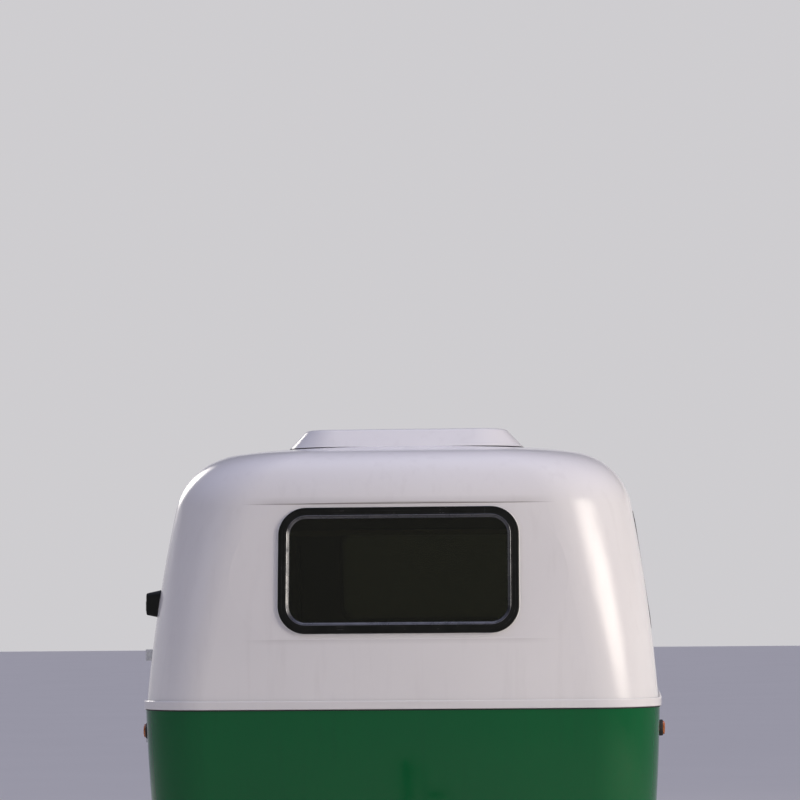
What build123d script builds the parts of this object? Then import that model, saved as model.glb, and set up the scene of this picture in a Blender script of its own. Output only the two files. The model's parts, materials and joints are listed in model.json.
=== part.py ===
from build123d import *
import math
import os

# A small moulded fibreglass camper trailer. Millimetres, +Z up, ground at Z 0, drawbar towards -Y.
# Left and right are the traveller's, looking forwards, so left is +X and the entry door is on -X.

# Body shells
BODY_WIDTH = 2007.0
BODY_LENGTH = 3048.0
DRAWBAR_REACH = 914.0
UNDERSIDE = 400.0
BELT_TOP = 1161.0
BELT_DEPTH = 33.0
BELT_PROUD = 12.5
BELT_TOP_ROUND = 5.0
BELT_BOTTOM_ROUND = 3.0
LOWER_SHELL_INSET = 7.0
UPPER_BARREL_RISE = 742.0
UPPER_RISE = 982.0
LOWER_BARREL_DROP = 490.0
WALL = 25.0
PLAN_CORNER = 250.0
ROOF_CORNER_GAIN = 110.0
END_BOW = 25.0
SIDE_BOW = 12.0
CROWN_LEAN = 80.0
CROWN_EDGE_LEAN = 86.0

# Raised roof
RAISE_HEIGHT = 72.0
RAISE_INSET_SIDE = 4.0
RAISE_SLOPE = 44.0
RAISE_CORNER = 190.0
RAISE_ROUND = 30.0

# Windows
PAD_BOTTOM_RISE = 236.0
PAD_TOP_RISE = 745.0
FRONT_PAD_DEPTH = 7.0
FRONT_PAD_WIDTH = 1450.0
REAR_PAD_DEPTH = 9.0
REAR_PAD_WIDTH = 1060.0
SIDE_PAD_DEPTH = 7.0
PAD_MARGIN = 26.0
WINDOW_HEIGHT = 487.0
WINDOW_CORNER = 107.0
END_WINDOW_WIDTH = 918.0
LEFT_WINDOW_WIDTH = 1130.0
RIGHT_WINDOW_WIDTH = 900.0
RIGHT_WINDOW_AFT = 303.0
FRAME_WIDTH = 36.0
FRAME_PROUD = 12.0
FRAME_LAP = 20.0
FRAME_ROUND = 5.0
GLASS_THICK = 8.0

# Entry door
DOOR_WIDTH = 630.0
DOOR_BOTTOM = 500.0
DOOR_TOP = 1895.0
DOOR_CORNER = 95.0
DOOR_AFT = -700.0
DOOR_WINDOW_WIDTH = 430.0
DOOR_WINDOW_HEIGHT = 384.0
DOOR_GAP = 6.0
DOOR_GAP_AFT = 20.0

# Rear hatch
HATCH_WIDTH = 1300.0
HATCH_BOTTOM = 560.0
HATCH_TOP = 1955.0
HATCH_CORNER = 130.0
HATCH_GAP = 6.0

# Hinges of the door and hatch: a pin line outside the wall, with knuckles on both halves
HINGE_PROUD = 10.0
HINGE_KNUCKLE = 8.0
HINGE_PIN = 4.0
HINGE_PIN_CLEARANCE = 0.3
HINGE_KNUCKLE_GAP = 1.0
DOOR_HINGE_LEAF = 75.0
HATCH_HINGE_LEAF = 42.0
DOOR_HINGE_HEIGHTS = (690.0, 1010.0, 1330.0)
DOOR_HINGE_TALL = 44.0
HATCH_HINGE_X = (-430.0, 430.0)
HATCH_HINGE_WIDE = 80.0

# Hatch struts, from the hinge line: foot on the body, eye on the hatch at rest
STRUT_X = 618.0
STRUT_FOOT = (20.0, -720.0)
STRUT_EYE = (-66.0, -180.0)
STRUT_OPEN = 85.0
STRUT_BODY_RADIUS = 10.0
STRUT_ROD_RADIUS = 4.0
STRUT_ROD_CLEARANCE = 0.3
STRUT_EYE_RADIUS = 9.0
STRUT_EYE_THICK = 12.0
STRUT_PIN = 4.0
STRUT_PIN_CLEARANCE = 0.3
STRUT_END_ROOM = 18.0
STRUT_TAIL = 40.0
STRUT_PLATE = 6.0
STRUT_FOOT_PLATE = 12.0
STRUT_PLATE_EDGE = 14.0
STRUT_PLATE_HALF = 20.0
STRUT_SIDE_ROOM = 6.0
STRUT_STUD_SHORT = 2.0

# Roof vent
VENT_AFT = 573.0
VENT_OPENING = 356.0
VENT_CORNER = 20.0
VENT_FLANGE = 430.0
VENT_RISE = 22.0
VENT_LIP = 10.0
VENT_FIT = 1.0
VENT_LID_GAP = 5.0
VENT_LID_TALL = 34.0
VENT_LID_WALL = 5.0
VENT_LID_TAPER = 25.0
VENT_LID_ROUND = 10.0
VENT_HINGE_AFT = 222.0
VENT_LID_AFT = 196.0
VENT_BARREL = 7.0
VENT_PIN = 3.0
VENT_PIN_CLEARANCE = 0.3
VENT_EAR_X = 113.0
VENT_EAR_THICK = 8.0
VENT_EAR_REACH = 15.0
VENT_PIN_REACH = 24.0
VENT_BARREL_X = 60.0

# Running gear
TYRE_RADIUS = 305.0
TYRE_WIDTH = 180.0
TYRE_BULGE = 238.0
TYRE_SHOULDER_X = 72.0
TYRE_SHOULDER = 293.0
TYRE_GROOVES = (-36.0, 0.0, 36.0)
TYRE_GROOVE_WIDTH = 8.0
TYRE_GROOVE_DEPTH = 7.0
RIM_RADIUS = 172.0
RIM_WIDTH = 128.0
RIM_SHEET = 4.0
RIM_LIP = 12.0
RIM_BEAD_GAP = 1.0
RIM_DISC_THICK = 8.0
RIM_DISC_ROOT = 8.0
RIM_DISH_RADIUS = 98.0
RIM_HOLES = 10
RIM_HOLE_RADIUS = 13.0
RIM_HOLE_CIRCLE = 118.0
HUB_RADIUS = 42.0
HUB_IN = 60.0
HUB_OUT = 42.0
HUB_CAP_RADIUS = 88.0
HUB_CAP_TALL = 34.0
HUB_CAP_WALL = 3.0
WHEEL_TUCK = 60.0
AXLE_AFT = 150.0
ARCH_CLEARANCE = 88.0
WELL_CLEARANCE = 50.0
WELL_WALL = 8.0
FLARE_WIDTH = 34.0
FLARE_PROUD = 12.0
AXLE_SECTION = 70.0
AXLE_ARM_REACH = 150.0
AXLE_ARM_THICK = 28.0
AXLE_ARM_ROOT = 36.0
AXLE_ARM_TIP = 30.0
AXLE_ARM_TO_TYRE = 28.0
SPINDLE_RADIUS = 20.0
SPINDLE_CLEARANCE = 0.5
SPINDLE_END_GAP = 6.0

# Chassis and hitch
RAIL_WIDTH = 50.0
RAIL_DEPTH = 75.0
RAIL_TO_WELL = 65.0
RAIL_SETBACK = 400.0
CROSS_WIDTH = 50.0
CROSS_PLACES = (130.0, 1000.0)
DRAWBAR_NOSE_X = 50.0
DRAWBAR_TO_BALL = 113.0
BALL_BORE = 25.7
BALL_BORE_DEPTH = 30.0
COUPLER_WALL = 12.0
COUPLER_LIP = 5.0
COUPLER_TALL = 45.0
COUPLER_TAIL_WIDTH = 150.0
COUPLER_TAIL = 172.0
COUPLER_SHOULDER = 45.0
LATCH_WIDTH = 22.0
LATCH_LENGTH = 95.0
LATCH_THICK = 8.0
JACK_BEHIND_BALL = 260.0
JACK_TUBE_RADIUS = 30.0
JACK_TUBE_WALL = 4.0
JACK_TUBE_BOTTOM = 250.0
JACK_LEG_CLEARANCE = 1.0
JACK_LEG_WALL = 4.0
JACK_LEG_TOP = 510.0
JACK_TOP = 720.0
JACK_HEAD_TALL = 60.0
JACK_HEAD_LAP = 20.0
JACK_HEAD_ROUND = 8.0
JACK_PLATE = 10.0
JACK_PLATE_WIDE = 270.0
JACK_PLATE_LONG = 130.0
JACK_FOOT_RADIUS = 85.0
JACK_FOOT_THICK = 8.0
JACK_CONE_SPREAD = 15.0
JACK_CRANK_RADIUS = 8.0
JACK_CRANK_REACH = 130.0
JACK_CRANK_STAND = 40.0
JACK_GRIP_RADIUS = 14.0
JACK_GRIP_LENGTH = 80.0

# Rear steadies, stowed under the rails
STEADY_FROM_RAIL = 23.5
STEADY_PIVOT_Y = 1540.0
STEADY_PIVOT_DROP = 40.0
STEADY_LENGTH = 266.0
STEADY_SECTION = 30.0
STEADY_BARREL = 16.0
STEADY_PIN = 6.0
STEADY_PIN_CLEARANCE = 0.3
STEADY_EAR_THICK = 4.0
STEADY_EAR_GAP = 1.0
STEADY_EAR_LONG = 50.0
STEADY_PLATE = 6.0
STEADY_PAD_WIDE = 90.0
STEADY_PAD_TALL = 62.0
STEADY_PAD_THICK = 6.0

# Lamps and fittings
LAMP_RADIUS = 45.0
LAMP_PROUD = 20.0
LAMP_X = 715.0
LAMP_BELOW_BELT = 168.0
MARKER_RADIUS = 26.0
MARKER_PROUD = 12.0
MARKER_ALONG = 1180.0
MARKER_BELOW_BELT = 88.0
INLET_ALONG = 1050.0
INLET_BELOW_BELT = 288.0
INLET_RADIUS = 42.0
INLET_PROUD = 16.0
PLATE_WIDTH = 300.0
PLATE_HEIGHT = 150.0
PLATE_THICK = 3.0
PLATE_MIDDLE = 830.0
PLATE_FACE_IN = 10.0
PLATE_HOLE_SPACING = 178.0
PLATE_HOLE_RADIUS = 3.5
PLATE_HOLE_EDGE = 20.0
PLATE_RIB = 12.0
PLATE_RIB_X = 112.0
PORCH_LAMP_ALONG = 1160.0
PORCH_LAMP_HEIGHT = 1530.0
PORCH_LAMP_TALL = 84.0
PORCH_LAMP_WIDE = 62.0
PORCH_LAMP_CORNER = 14.0
PORCH_LAMP_PROUD = 42.0
PORCH_LAMP_TAPER = 12.0
PORCH_LAMP_ROUND = 6.0
HANDLE_BELOW_BELT = 118.0
HANDLE_FROM_EDGE = 70.0
HANDLE_PLATE_RADIUS = 36.0
HANDLE_PLATE_PROUD = 7.0
HANDLE_POST = 9.0
HANDLE_LIFT = 14.0
HANDLE_LEVER = (95.0, 18.0, 10.0)
GRIP_HEIGHT = 670.0
GRIP_WIDTH = 140.0
GRIP_POST = 8.0
GRIP_LIFT = 34.0
GRIP_BAR = 8.0

# Derived places
FRONT_Y = -(BODY_LENGTH + DRAWBAR_REACH) / 2 + DRAWBAR_REACH
REAR_Y = FRONT_Y + BODY_LENGTH
BODY_Y = (FRONT_Y + REAR_Y) / 2
BELT_BOTTOM = BELT_TOP - BELT_DEPTH
UPPER_HALF_WIDTH = BODY_WIDTH / 2 - BELT_PROUD
UPPER_HALF_LENGTH = BODY_LENGTH / 2 - BELT_PROUD
LOWER_HALF_WIDTH = BODY_WIDTH / 2 - LOWER_SHELL_INSET
LOWER_HALF_LENGTH = BODY_LENGTH / 2 - LOWER_SHELL_INSET
LOWER_DROP = BELT_BOTTOM - UNDERSIDE
ROOF_TOP = BELT_TOP + UPPER_RISE + RAISE_HEIGHT
MARKER_HEIGHT = BELT_BOTTOM - MARKER_BELOW_BELT
LAMP_HEIGHT = BELT_BOTTOM - LAMP_BELOW_BELT
INLET_HEIGHT = BELT_BOTTOM - INLET_BELOW_BELT
HANDLE_HEIGHT = BELT_BOTTOM - HANDLE_BELOW_BELT
WHEEL_X = BODY_WIDTH / 2 - WHEEL_TUCK - TYRE_WIDTH / 2
AXLE_Y = BODY_Y + AXLE_AFT
ARCH_RADIUS = TYRE_RADIUS + ARCH_CLEARANCE
WELL_INNER_X = WHEEL_X - TYRE_WIDTH / 2 - WELL_CLEARANCE
RAIL_X = WELL_INNER_X - RAIL_TO_WELL - RAIL_WIDTH / 2
STEADY_X = RAIL_X - STEADY_FROM_RAIL
RAIL_TOP = UNDERSIDE
RAIL_BOTTOM = RAIL_TOP - RAIL_DEPTH
RAIL_FRONT = FRONT_Y + RAIL_SETBACK
RAIL_REAR = REAR_Y - RAIL_SETBACK
BALL_Y = FRONT_Y - DRAWBAR_REACH + BALL_BORE + COUPLER_WALL
BALL_HEIGHT = RAIL_TOP + BALL_BORE_DEPTH - COUPLER_LIP
JACK_Y = BALL_Y + JACK_BEHIND_BALL
BEAM_Y = AXLE_Y - AXLE_ARM_REACH
BEAM_Z = RAIL_BOTTOM - AXLE_SECTION / 2
TYRE_INNER_X = WHEEL_X - TYRE_WIDTH / 2
FAR = 200.0
OVERSHOOT = 1.0


class WallProfile:
    """How far a wall leans in with distance from the belt.

    Its arcs are tangent, each with a radius, a first lean and a last lean.
    """

    def __init__(self, barrel_run, first_lean, barrel_lean, total_run, crown_radius):
        crown_run = crown_radius * (sine(CROWN_EDGE_LEAN) - sine(CROWN_LEAN))
        shoulder_run = total_run - barrel_run - crown_run
        self.arcs = [
            (barrel_run / (sine(barrel_lean) - sine(first_lean)), first_lean, barrel_lean),
            (shoulder_run / (sine(CROWN_LEAN) - sine(barrel_lean)), barrel_lean, CROWN_LEAN),
            (crown_radius, CROWN_LEAN, CROWN_EDGE_LEAN),
        ]

    def inset(self, run):
        """Inset of the wall at a vertical distance from the belt."""
        done = gone = 0.0
        for radius, first, last in self.arcs:
            step = radius * (sine(last) - sine(first))
            if run <= done + step:
                lean = math.asin(sine(first) + (run - done) / radius)
                return gone + radius * (cosine(first) - math.cos(lean))
            done += step
            gone += radius * (cosine(first) - cosine(last))
        return gone

    def runs(self, leans):
        """Vertical distances at which the wall reaches the given leans."""
        found = []
        for lean in leans:
            done = 0.0
            for radius, first, last in self.arcs:
                if lean <= last:
                    found.append(done + radius * (sine(lean) - sine(first)))
                    break
                done += radius * (sine(last) - sine(first))
        return found


def sine(degrees):
    return math.sin(math.radians(degrees))


def cosine(degrees):
    return math.cos(math.radians(degrees))


# Walls above the belt lean in over a barrel, a shoulder and a crown. Below it they tuck under.
UPPER_SIDE = WallProfile(UPPER_BARREL_RISE, 4.0, 10.5, UPPER_RISE, 2000.0)
UPPER_END = WallProfile(UPPER_BARREL_RISE, 5.0, 11.5, UPPER_RISE, 2000.0)
LOWER_SIDE = WallProfile(LOWER_BARREL_DROP, 1.5, 4.5, LOWER_DROP, 300.0)
LOWER_END = WallProfile(LOWER_BARREL_DROP, 3.0, 8.0, LOWER_DROP, 300.0)

# Each stage of a wall is lofted by itself, through sections at these leans
UPPER_STAGES = ((4.0, 7.25, 10.5), (10.5, 27.0, 44.0, 62.0, 80.0), (80.0, 83.0, 86.0))
LOWER_STAGES = ((1.5, 3.0, 4.5), (4.5, 24.0, 43.0, 62.0, 80.0), (80.0, 83.0, 86.0))


def plan_outline(height, half_width, half_length, corner):
    """Plan outline of the body at a height: four bowed walls and four round corners."""
    front, rear = BODY_Y - half_length, BODY_Y + half_length
    w, bow, side = half_width, END_BOW, SIDE_BOW
    with BuildSketch(Plane.XY.offset(height)) as sketch:
        with BuildLine():
            ThreePointArc((-w + side, front + bow), (0, front), (w - side, front + bow))
            ThreePointArc((w - side, front + bow), (w, BODY_Y), (w - side, rear - bow))
            ThreePointArc((w - side, rear - bow), (0, rear), (-w + side, rear - bow))
            ThreePointArc((-w + side, rear - bow), (-w, BODY_Y), (-w + side, front + bow))
        make_face()
        fillet(sketch.vertices(), corner)
    return sketch.sketch.face()


def stacked(stages, profile, section):
    """A form lofted stage by stage, so that no stage pulls the next one out of shape."""
    lofts = [loft([section(run) for run in profile.runs(leans)]) for leans in stages]
    whole = lofts[0]
    for upper_stage in lofts[1:]:
        whole = whole + upper_stage
    return whole


def upper_form(skin):
    """Outside form of the upper moulding, or its inside for a skin of the wall's thickness."""
    squeeze = (UPPER_RISE - skin) / UPPER_RISE

    def section(rise):
        return plan_outline(
            BELT_TOP + rise * squeeze,
            UPPER_HALF_WIDTH - skin - UPPER_SIDE.inset(rise),
            UPPER_HALF_LENGTH - skin - UPPER_END.inset(rise),
            PLAN_CORNER - skin + ROOF_CORNER_GAIN * rise / UPPER_RISE,
        )

    return stacked(UPPER_STAGES, UPPER_SIDE, section)


def lower_form(skin, depth_skin=None):
    """Outside form of the lower moulding, or its inside for a skin of the wall's thickness."""
    squeeze = (LOWER_DROP - (skin if depth_skin is None else depth_skin)) / LOWER_DROP

    def section(drop):
        return plan_outline(
            BELT_BOTTOM - drop * squeeze,
            LOWER_HALF_WIDTH - skin - LOWER_SIDE.inset(drop),
            LOWER_HALF_LENGTH - skin - LOWER_END.inset(drop),
            PLAN_CORNER - skin,
        )

    return stacked(LOWER_STAGES, LOWER_SIDE, section)


def side_x(height):
    """Half-width of the body at a height, at the middle of its side."""
    if height >= BELT_TOP:
        return UPPER_HALF_WIDTH - UPPER_SIDE.inset(height - BELT_TOP)
    return LOWER_HALF_WIDTH - LOWER_SIDE.inset(BELT_BOTTOM - height)


def rear_wall_y(height):
    """Place of the rear wall at a height, at its middle."""
    if height >= BELT_TOP:
        return BODY_Y + UPPER_HALF_LENGTH - UPPER_END.inset(height - BELT_TOP)
    return BODY_Y + LOWER_HALF_LENGTH - LOWER_END.inset(BELT_BOTTOM - height)


def raised_roof(skin):
    """The raised middle of the roof, with sloped sides and a rounded top edge."""
    half_width = UPPER_HALF_WIDTH - UPPER_SIDE.inset(UPPER_RISE) - RAISE_INSET_SIDE - skin
    half_length = UPPER_HALF_LENGTH - UPPER_END.inset(UPPER_RISE) - RAISE_INSET_SIDE - skin
    base = Plane((0, BODY_Y, BELT_TOP + UPPER_RISE - skin))
    foot = base * RectangleRounded(2 * half_width, 2 * half_length, RAISE_CORNER - skin)
    block = extrude(foot, RAISE_HEIGHT, taper=RAISE_SLOPE)
    top_edges = block.faces().sort_by(Axis.Z)[-1].edges()
    return fillet(top_edges, RAISE_ROUND)


def plate_on(plane, width, height, corner, start, thickness, taper=0.0):
    """A rounded rectangle standing on a plane, from start along the plane's normal."""
    face = plane.offset(start) * RectangleRounded(width, height, corner)
    return extrude(face, thickness, taper=taper)


def wall_lean(profile):
    """Lean, inset and middle rise of a flat window pad laid across a wall above the belt."""
    low, high = profile.inset(PAD_BOTTOM_RISE), profile.inset(PAD_TOP_RISE)
    run = PAD_TOP_RISE - PAD_BOTTOM_RISE
    lean = math.atan2(high - low, run)
    return lean, (low + high) / 2, (PAD_BOTTOM_RISE + PAD_TOP_RISE) / 2


def pad_plane(side, along, depth):
    """Plane of a window pad on the front, rear, left or right wall, at a place along that wall."""
    profile = UPPER_END if side in ("front", "rear") else UPPER_SIDE
    lean, inset, rise = wall_lean(profile)
    sin_lean, cos_lean = math.sin(lean), math.cos(lean)
    height = BELT_TOP + rise
    if side in ("front", "rear"):
        way = -1 if side == "front" else 1
        origin = (along, BODY_Y + way * (UPPER_HALF_LENGTH - inset - depth), height)
        return Plane(origin, x_dir=(-way, 0, 0), z_dir=(0, way * cos_lean, sin_lean))
    way = 1 if side == "left" else -1
    origin = (way * (UPPER_HALF_WIDTH - inset - depth), along, height)
    return Plane(origin, x_dir=(0, way, 0), z_dir=(way * cos_lean, 0, sin_lean))


class Window:
    """A framed window on a flat pad: its frame, its pane and the cuts that it needs in the wall.

    A pad with a width of its own is a straight cut across an end wall, and fades out where the wall
    falls away. Any other pad follows its frame's outline.
    """

    def __init__(self, side, along, width, height, pad_depth=SIDE_PAD_DEPTH, pad_width=None):
        self.plane = pad_plane(side, along, pad_depth)
        self.width, self.height = width, height
        self.pad_width = pad_width

    def size(self, narrower):
        return (
            self.width - 2 * narrower,
            self.height - 2 * narrower,
            WINDOW_CORNER - narrower,
        )

    def cuts(self):
        """The sunk pad and the hole, both to be taken out of the wall."""
        if self.pad_width:
            slant = (PAD_TOP_RISE - PAD_BOTTOM_RISE) / self.plane.y_dir.Z
            pad = self.plane * Rectangle(self.pad_width, slant)
            sunk = extrude(pad, FAR / 2, taper=-45)
        else:
            sunk = plate_on(self.plane, *self.size(-PAD_MARGIN), 0, FAR / 2, taper=-45)
        hole = plate_on(self.plane, *self.size(FRAME_LAP), -FAR / 2, FAR / 2)
        return [sunk, hole]

    def frame(self):
        """The frame's flange on the pad with its spigot through the wall."""
        flange = plate_on(self.plane, *self.size(0), 0, FRAME_PROUD)
        outward = Axis(self.plane.origin, self.plane.z_dir)
        flange = fillet(flange.faces().sort_by(outward)[-1].edges(), FRAME_ROUND)
        spigot = plate_on(self.plane, *self.size(FRAME_LAP), -WALL, WALL)
        opening = plate_on(self.plane, *self.size(FRAME_WIDTH), -FAR / 2, FAR)
        return flange + spigot - opening

    def pane(self):
        return plate_on(self.plane, *self.size(FRAME_WIDTH), FRAME_PROUD / 2 - GLASS_THICK, GLASS_THICK)


def prism(width, height, corner, along, middle, side):
    """A rounded upright outline pushed right through the right-hand wall or the rear wall."""
    if side == "right":
        plane = Plane((-UPPER_HALF_WIDTH + 2 * FAR, along, middle), x_dir=(0, 1, 0), z_dir=(-1, 0, 0))
    else:
        plane = Plane((along, REAR_Y - 3 * FAR, middle), x_dir=(-1, 0, 0), z_dir=(0, 1, 0))
    return plate_on(plane, width, height, corner, 0, 4 * FAR)


def bar(x_range, y_range, z_range):
    """A square-edged bar between two corners."""
    size = [high - low for low, high in (x_range, y_range, z_range)]
    middle = [(low + high) / 2 for low, high in (x_range, y_range, z_range)]
    return Pos(*middle) * Box(*size)


def drum(axis, radius, start, end, at):
    """A round bar along an axis, from start to end, at a place across it."""
    plane = {
        "x": Plane((start, at[0], at[1]), x_dir=(0, 1, 0), z_dir=(1, 0, 0)),
        "y": Plane((at[0], start, at[1]), x_dir=(1, 0, 0), z_dir=(0, 1, 0)),
        "z": Plane((at[0], at[1], start), x_dir=(1, 0, 0), z_dir=(0, 0, 1)),
    }[axis]
    return extrude(plane * Circle(radius), end - start)


def both_sides(shape):
    """A piece and its mirror image across the middle of the trailer."""
    return Compound([*shape.solids(), *mirror(shape, Plane.YZ).solids()])


parts = {}


def keep(name, shape):
    parts[name] = shape


# Window places
front_window = Window("front", 0, END_WINDOW_WIDTH, WINDOW_HEIGHT, FRONT_PAD_DEPTH, FRONT_PAD_WIDTH)
rear_window = Window("rear", 0, END_WINDOW_WIDTH, WINDOW_HEIGHT, REAR_PAD_DEPTH, REAR_PAD_WIDTH)
left_window = Window("left", BODY_Y, LEFT_WINDOW_WIDTH, WINDOW_HEIGHT)
right_window = Window("right", BODY_Y + RIGHT_WINDOW_AFT, RIGHT_WINDOW_WIDTH, WINDOW_HEIGHT)
door_window = Window("right", BODY_Y + DOOR_AFT, DOOR_WINDOW_WIDTH, DOOR_WINDOW_HEIGHT)

# Whole upper moulding with the belt rim, whose inside overshoots its bottom
rim_outline = plan_outline(BELT_BOTTOM, BODY_WIDTH / 2, BODY_LENGTH / 2, PLAN_CORNER + BELT_PROUD)
rim = extrude(rim_outline, BELT_DEPTH)
rim = fillet(rim.faces().sort_by(Axis.Z)[-1].edges(), BELT_TOP_ROUND)
rim = fillet(rim.faces().sort_by(Axis.Z)[0].edges(), BELT_BOTTOM_ROUND)
inside_corner = PLAN_CORNER - WALL
rim_inside = extrude(
    plan_outline(BELT_BOTTOM - OVERSHOOT, UPPER_HALF_WIDTH - WALL, UPPER_HALF_LENGTH - WALL, inside_corner),
    BELT_DEPTH + OVERSHOOT,
)
upper_outer = upper_form(0) + rim + raised_roof(0)
upper_inner = upper_form(WALL) + rim_inside + raised_roof(WALL)
for window in (front_window, rear_window, left_window, right_window, door_window):
    sunk, hole = window.cuts()
    upper_outer = upper_outer - sunk
    upper_outer = upper_outer - hole
upper_whole = upper_outer - upper_inner

# Whole lower moulding
lower_outer = lower_form(0)
lower_inner = lower_form(WALL)
lower_whole = lower_outer - lower_inner

# Door and hatch outlines
door_middle = (DOOR_BOTTOM + DOOR_TOP) / 2
door_tall = DOOR_TOP - DOOR_BOTTOM
door_y = BODY_Y + DOOR_AFT
door_front = door_y - DOOR_WIDTH / 2
door_aft = door_y + DOOR_WIDTH / 2
door_cut = prism(DOOR_WIDTH, door_tall, DOOR_CORNER, door_y, door_middle, "right")
door_opening = prism(
    DOOR_WIDTH + DOOR_GAP + DOOR_GAP_AFT,
    door_tall + 2 * DOOR_GAP,
    DOOR_CORNER + DOOR_GAP,
    door_y + (DOOR_GAP_AFT - DOOR_GAP) / 2,
    door_middle,
    "right",
)
hatch_middle = (HATCH_BOTTOM + HATCH_TOP) / 2
hatch_tall = HATCH_TOP - HATCH_BOTTOM
hatch_cut = prism(HATCH_WIDTH, hatch_tall, HATCH_CORNER, 0, hatch_middle, "rear")
hatch_opening = prism(
    HATCH_WIDTH + 2 * HATCH_GAP,
    hatch_tall + 2 * HATCH_GAP,
    HATCH_CORNER + HATCH_GAP,
    0,
    hatch_middle,
    "rear",
)
keep("door_upper", upper_whole & door_cut)
keep("door_lower", lower_whole & door_cut)
keep("hatch_upper", upper_whole & hatch_cut)
keep("hatch_lower", lower_whole & hatch_cut)
vent_y = BODY_Y + VENT_AFT
vent_place = Pos(0, vent_y, ROOF_TOP)
vent_square = RectangleRounded(VENT_OPENING, VENT_OPENING, VENT_CORNER)
vent_hole = vent_place * extrude(vent_square, FAR / 2, both=True)
keep("upper_shell", upper_whole - door_opening - hatch_opening - vent_hole)

# Wheel arches, wells and flares
wheel_place = (AXLE_Y, TYRE_RADIUS)
arch = drum("x", ARCH_RADIUS, WELL_INNER_X, BODY_WIDTH, wheel_place)
keep("lower_shell", lower_whole - door_opening - hatch_opening - arch - mirror(arch, Plane.YZ))
liner = drum("x", ARCH_RADIUS + WELL_WALL, WELL_INNER_X - WELL_WALL, BODY_WIDTH / 2, wheel_place) - arch
keep("wheel_wells", both_sides(liner & lower_inner))
flare_ring = drum("x", ARCH_RADIUS + FLARE_WIDTH, WELL_INNER_X, BODY_WIDTH, wheel_place) - arch
flare_skin = lower_form(-FLARE_PROUD, 0) - lower_outer
keep("arch_flares", both_sides(flare_ring & flare_skin))

# Window frames and panes
for name, window in (
    ("front", front_window),
    ("rear", rear_window),
    ("left", left_window),
    ("right", right_window),
    ("door", door_window),
):
    keep(f"{name}_window_frame", window.frame())
    keep(f"{name}_window_glass", window.pane())


def seated(shapes, forms):
    """Pieces trimmed by the body's outside, so that they sit on its skin."""
    seats = []
    for shape in shapes:
        for form in forms:
            shape = shape - form
        seats += shape.solids()
    return Compound(seats)


def hinge_half(length, leaf, knuckles, bore, reach, wall):
    """Half a hinge in its own frame: pin line along Z, leaf along +Y, wall towards +X.

    The knuckles are (low, high) stretches of the length. The leaf reaches into the wall, where the
    wall's own form trims it.
    """
    start = HINGE_KNUCKLE + HINGE_KNUCKLE_GAP
    leaf_plan = Polyline((0, start), (reach, start), (reach, leaf), (wall, leaf), (0, start))
    half = extrude(make_face(leaf_plan), length)
    for low, high in knuckles:
        web = bar((0, HINGE_KNUCKLE), (0, start + OVERSHOOT), (low, high))
        half = half + drum("z", HINGE_KNUCKLE, low, high, (0, 0)) + web
    if bore:
        half = half - drum("z", bore, -length, 2 * length, (0, 0))
    return half


def hinge_fixed(length, leaf, reach, wall):
    """The half on the body: two outer knuckles and the pin."""
    low_end = length / 3 - HINGE_KNUCKLE_GAP / 2
    half = hinge_half(length, leaf, [(0, low_end), (length - low_end, length)], 0, reach, wall)
    return mirror(half + drum("z", HINGE_PIN, 0, length, (0, 0)), Plane.XZ)


def hinge_moving(length, leaf, reach, wall):
    """The half on the panel: one middle knuckle, bored for the pin."""
    low_end = length / 3 + HINGE_KNUCKLE_GAP / 2
    bore = HINGE_PIN + HINGE_PIN_CLEARANCE
    return hinge_half(length, leaf, [(low_end, length - low_end)], bore, reach, wall)


# Door hinges on a pin line outside the right-hand wall, just ahead of the door's front edge
door_axis_x = -(BODY_WIDTH / 2 + HINGE_PROUD)
door_axis_y = door_front - DOOR_GAP / 2
brackets = []
straps = []
for height in DOOR_HINGE_HEIGHTS:
    depth = -door_axis_x - side_x(height)
    place = Pos(door_axis_x, door_axis_y, height - DOOR_HINGE_TALL / 2)
    sizes = (DOOR_HINGE_TALL, DOOR_HINGE_LEAF, depth + WALL, depth - HINGE_PROUD / 2)
    brackets.append(place * hinge_fixed(*sizes))
    straps.append(place * hinge_moving(*sizes))
keep("door_hinge_brackets", seated(brackets, (upper_outer, lower_outer)))
keep("door_hinge_straps", seated(straps, (upper_outer, lower_outer)))

# Hatch hinges on a pin line along X, over the hatch's top edge
hatch_axis_z = HATCH_TOP + HATCH_GAP
hatch_axis_y = rear_wall_y(hatch_axis_z) + HINGE_PROUD
brackets = []
straps = []
for middle in HATCH_HINGE_X:
    origin = (middle - HATCH_HINGE_WIDE / 2, hatch_axis_y, hatch_axis_z)
    plane = Plane(origin, x_dir=(0, -1, 0), z_dir=(1, 0, 0))
    above = hatch_axis_y - rear_wall_y(hatch_axis_z + HATCH_HINGE_LEAF)
    below = hatch_axis_y - rear_wall_y(hatch_axis_z - HATCH_HINGE_LEAF)
    sizes = (HATCH_HINGE_WIDE, HATCH_HINGE_LEAF)
    brackets.append(plane * hinge_fixed(*sizes, above + WALL, above - HINGE_PROUD / 2))
    straps.append(plane * hinge_moving(*sizes, HINGE_PROUD + WALL, below - HINGE_PROUD / 2))
keep("hatch_hinge_brackets", seated(brackets, (upper_outer,)))
keep("hatch_hinge_straps", seated(straps, (upper_outer,)))

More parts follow.
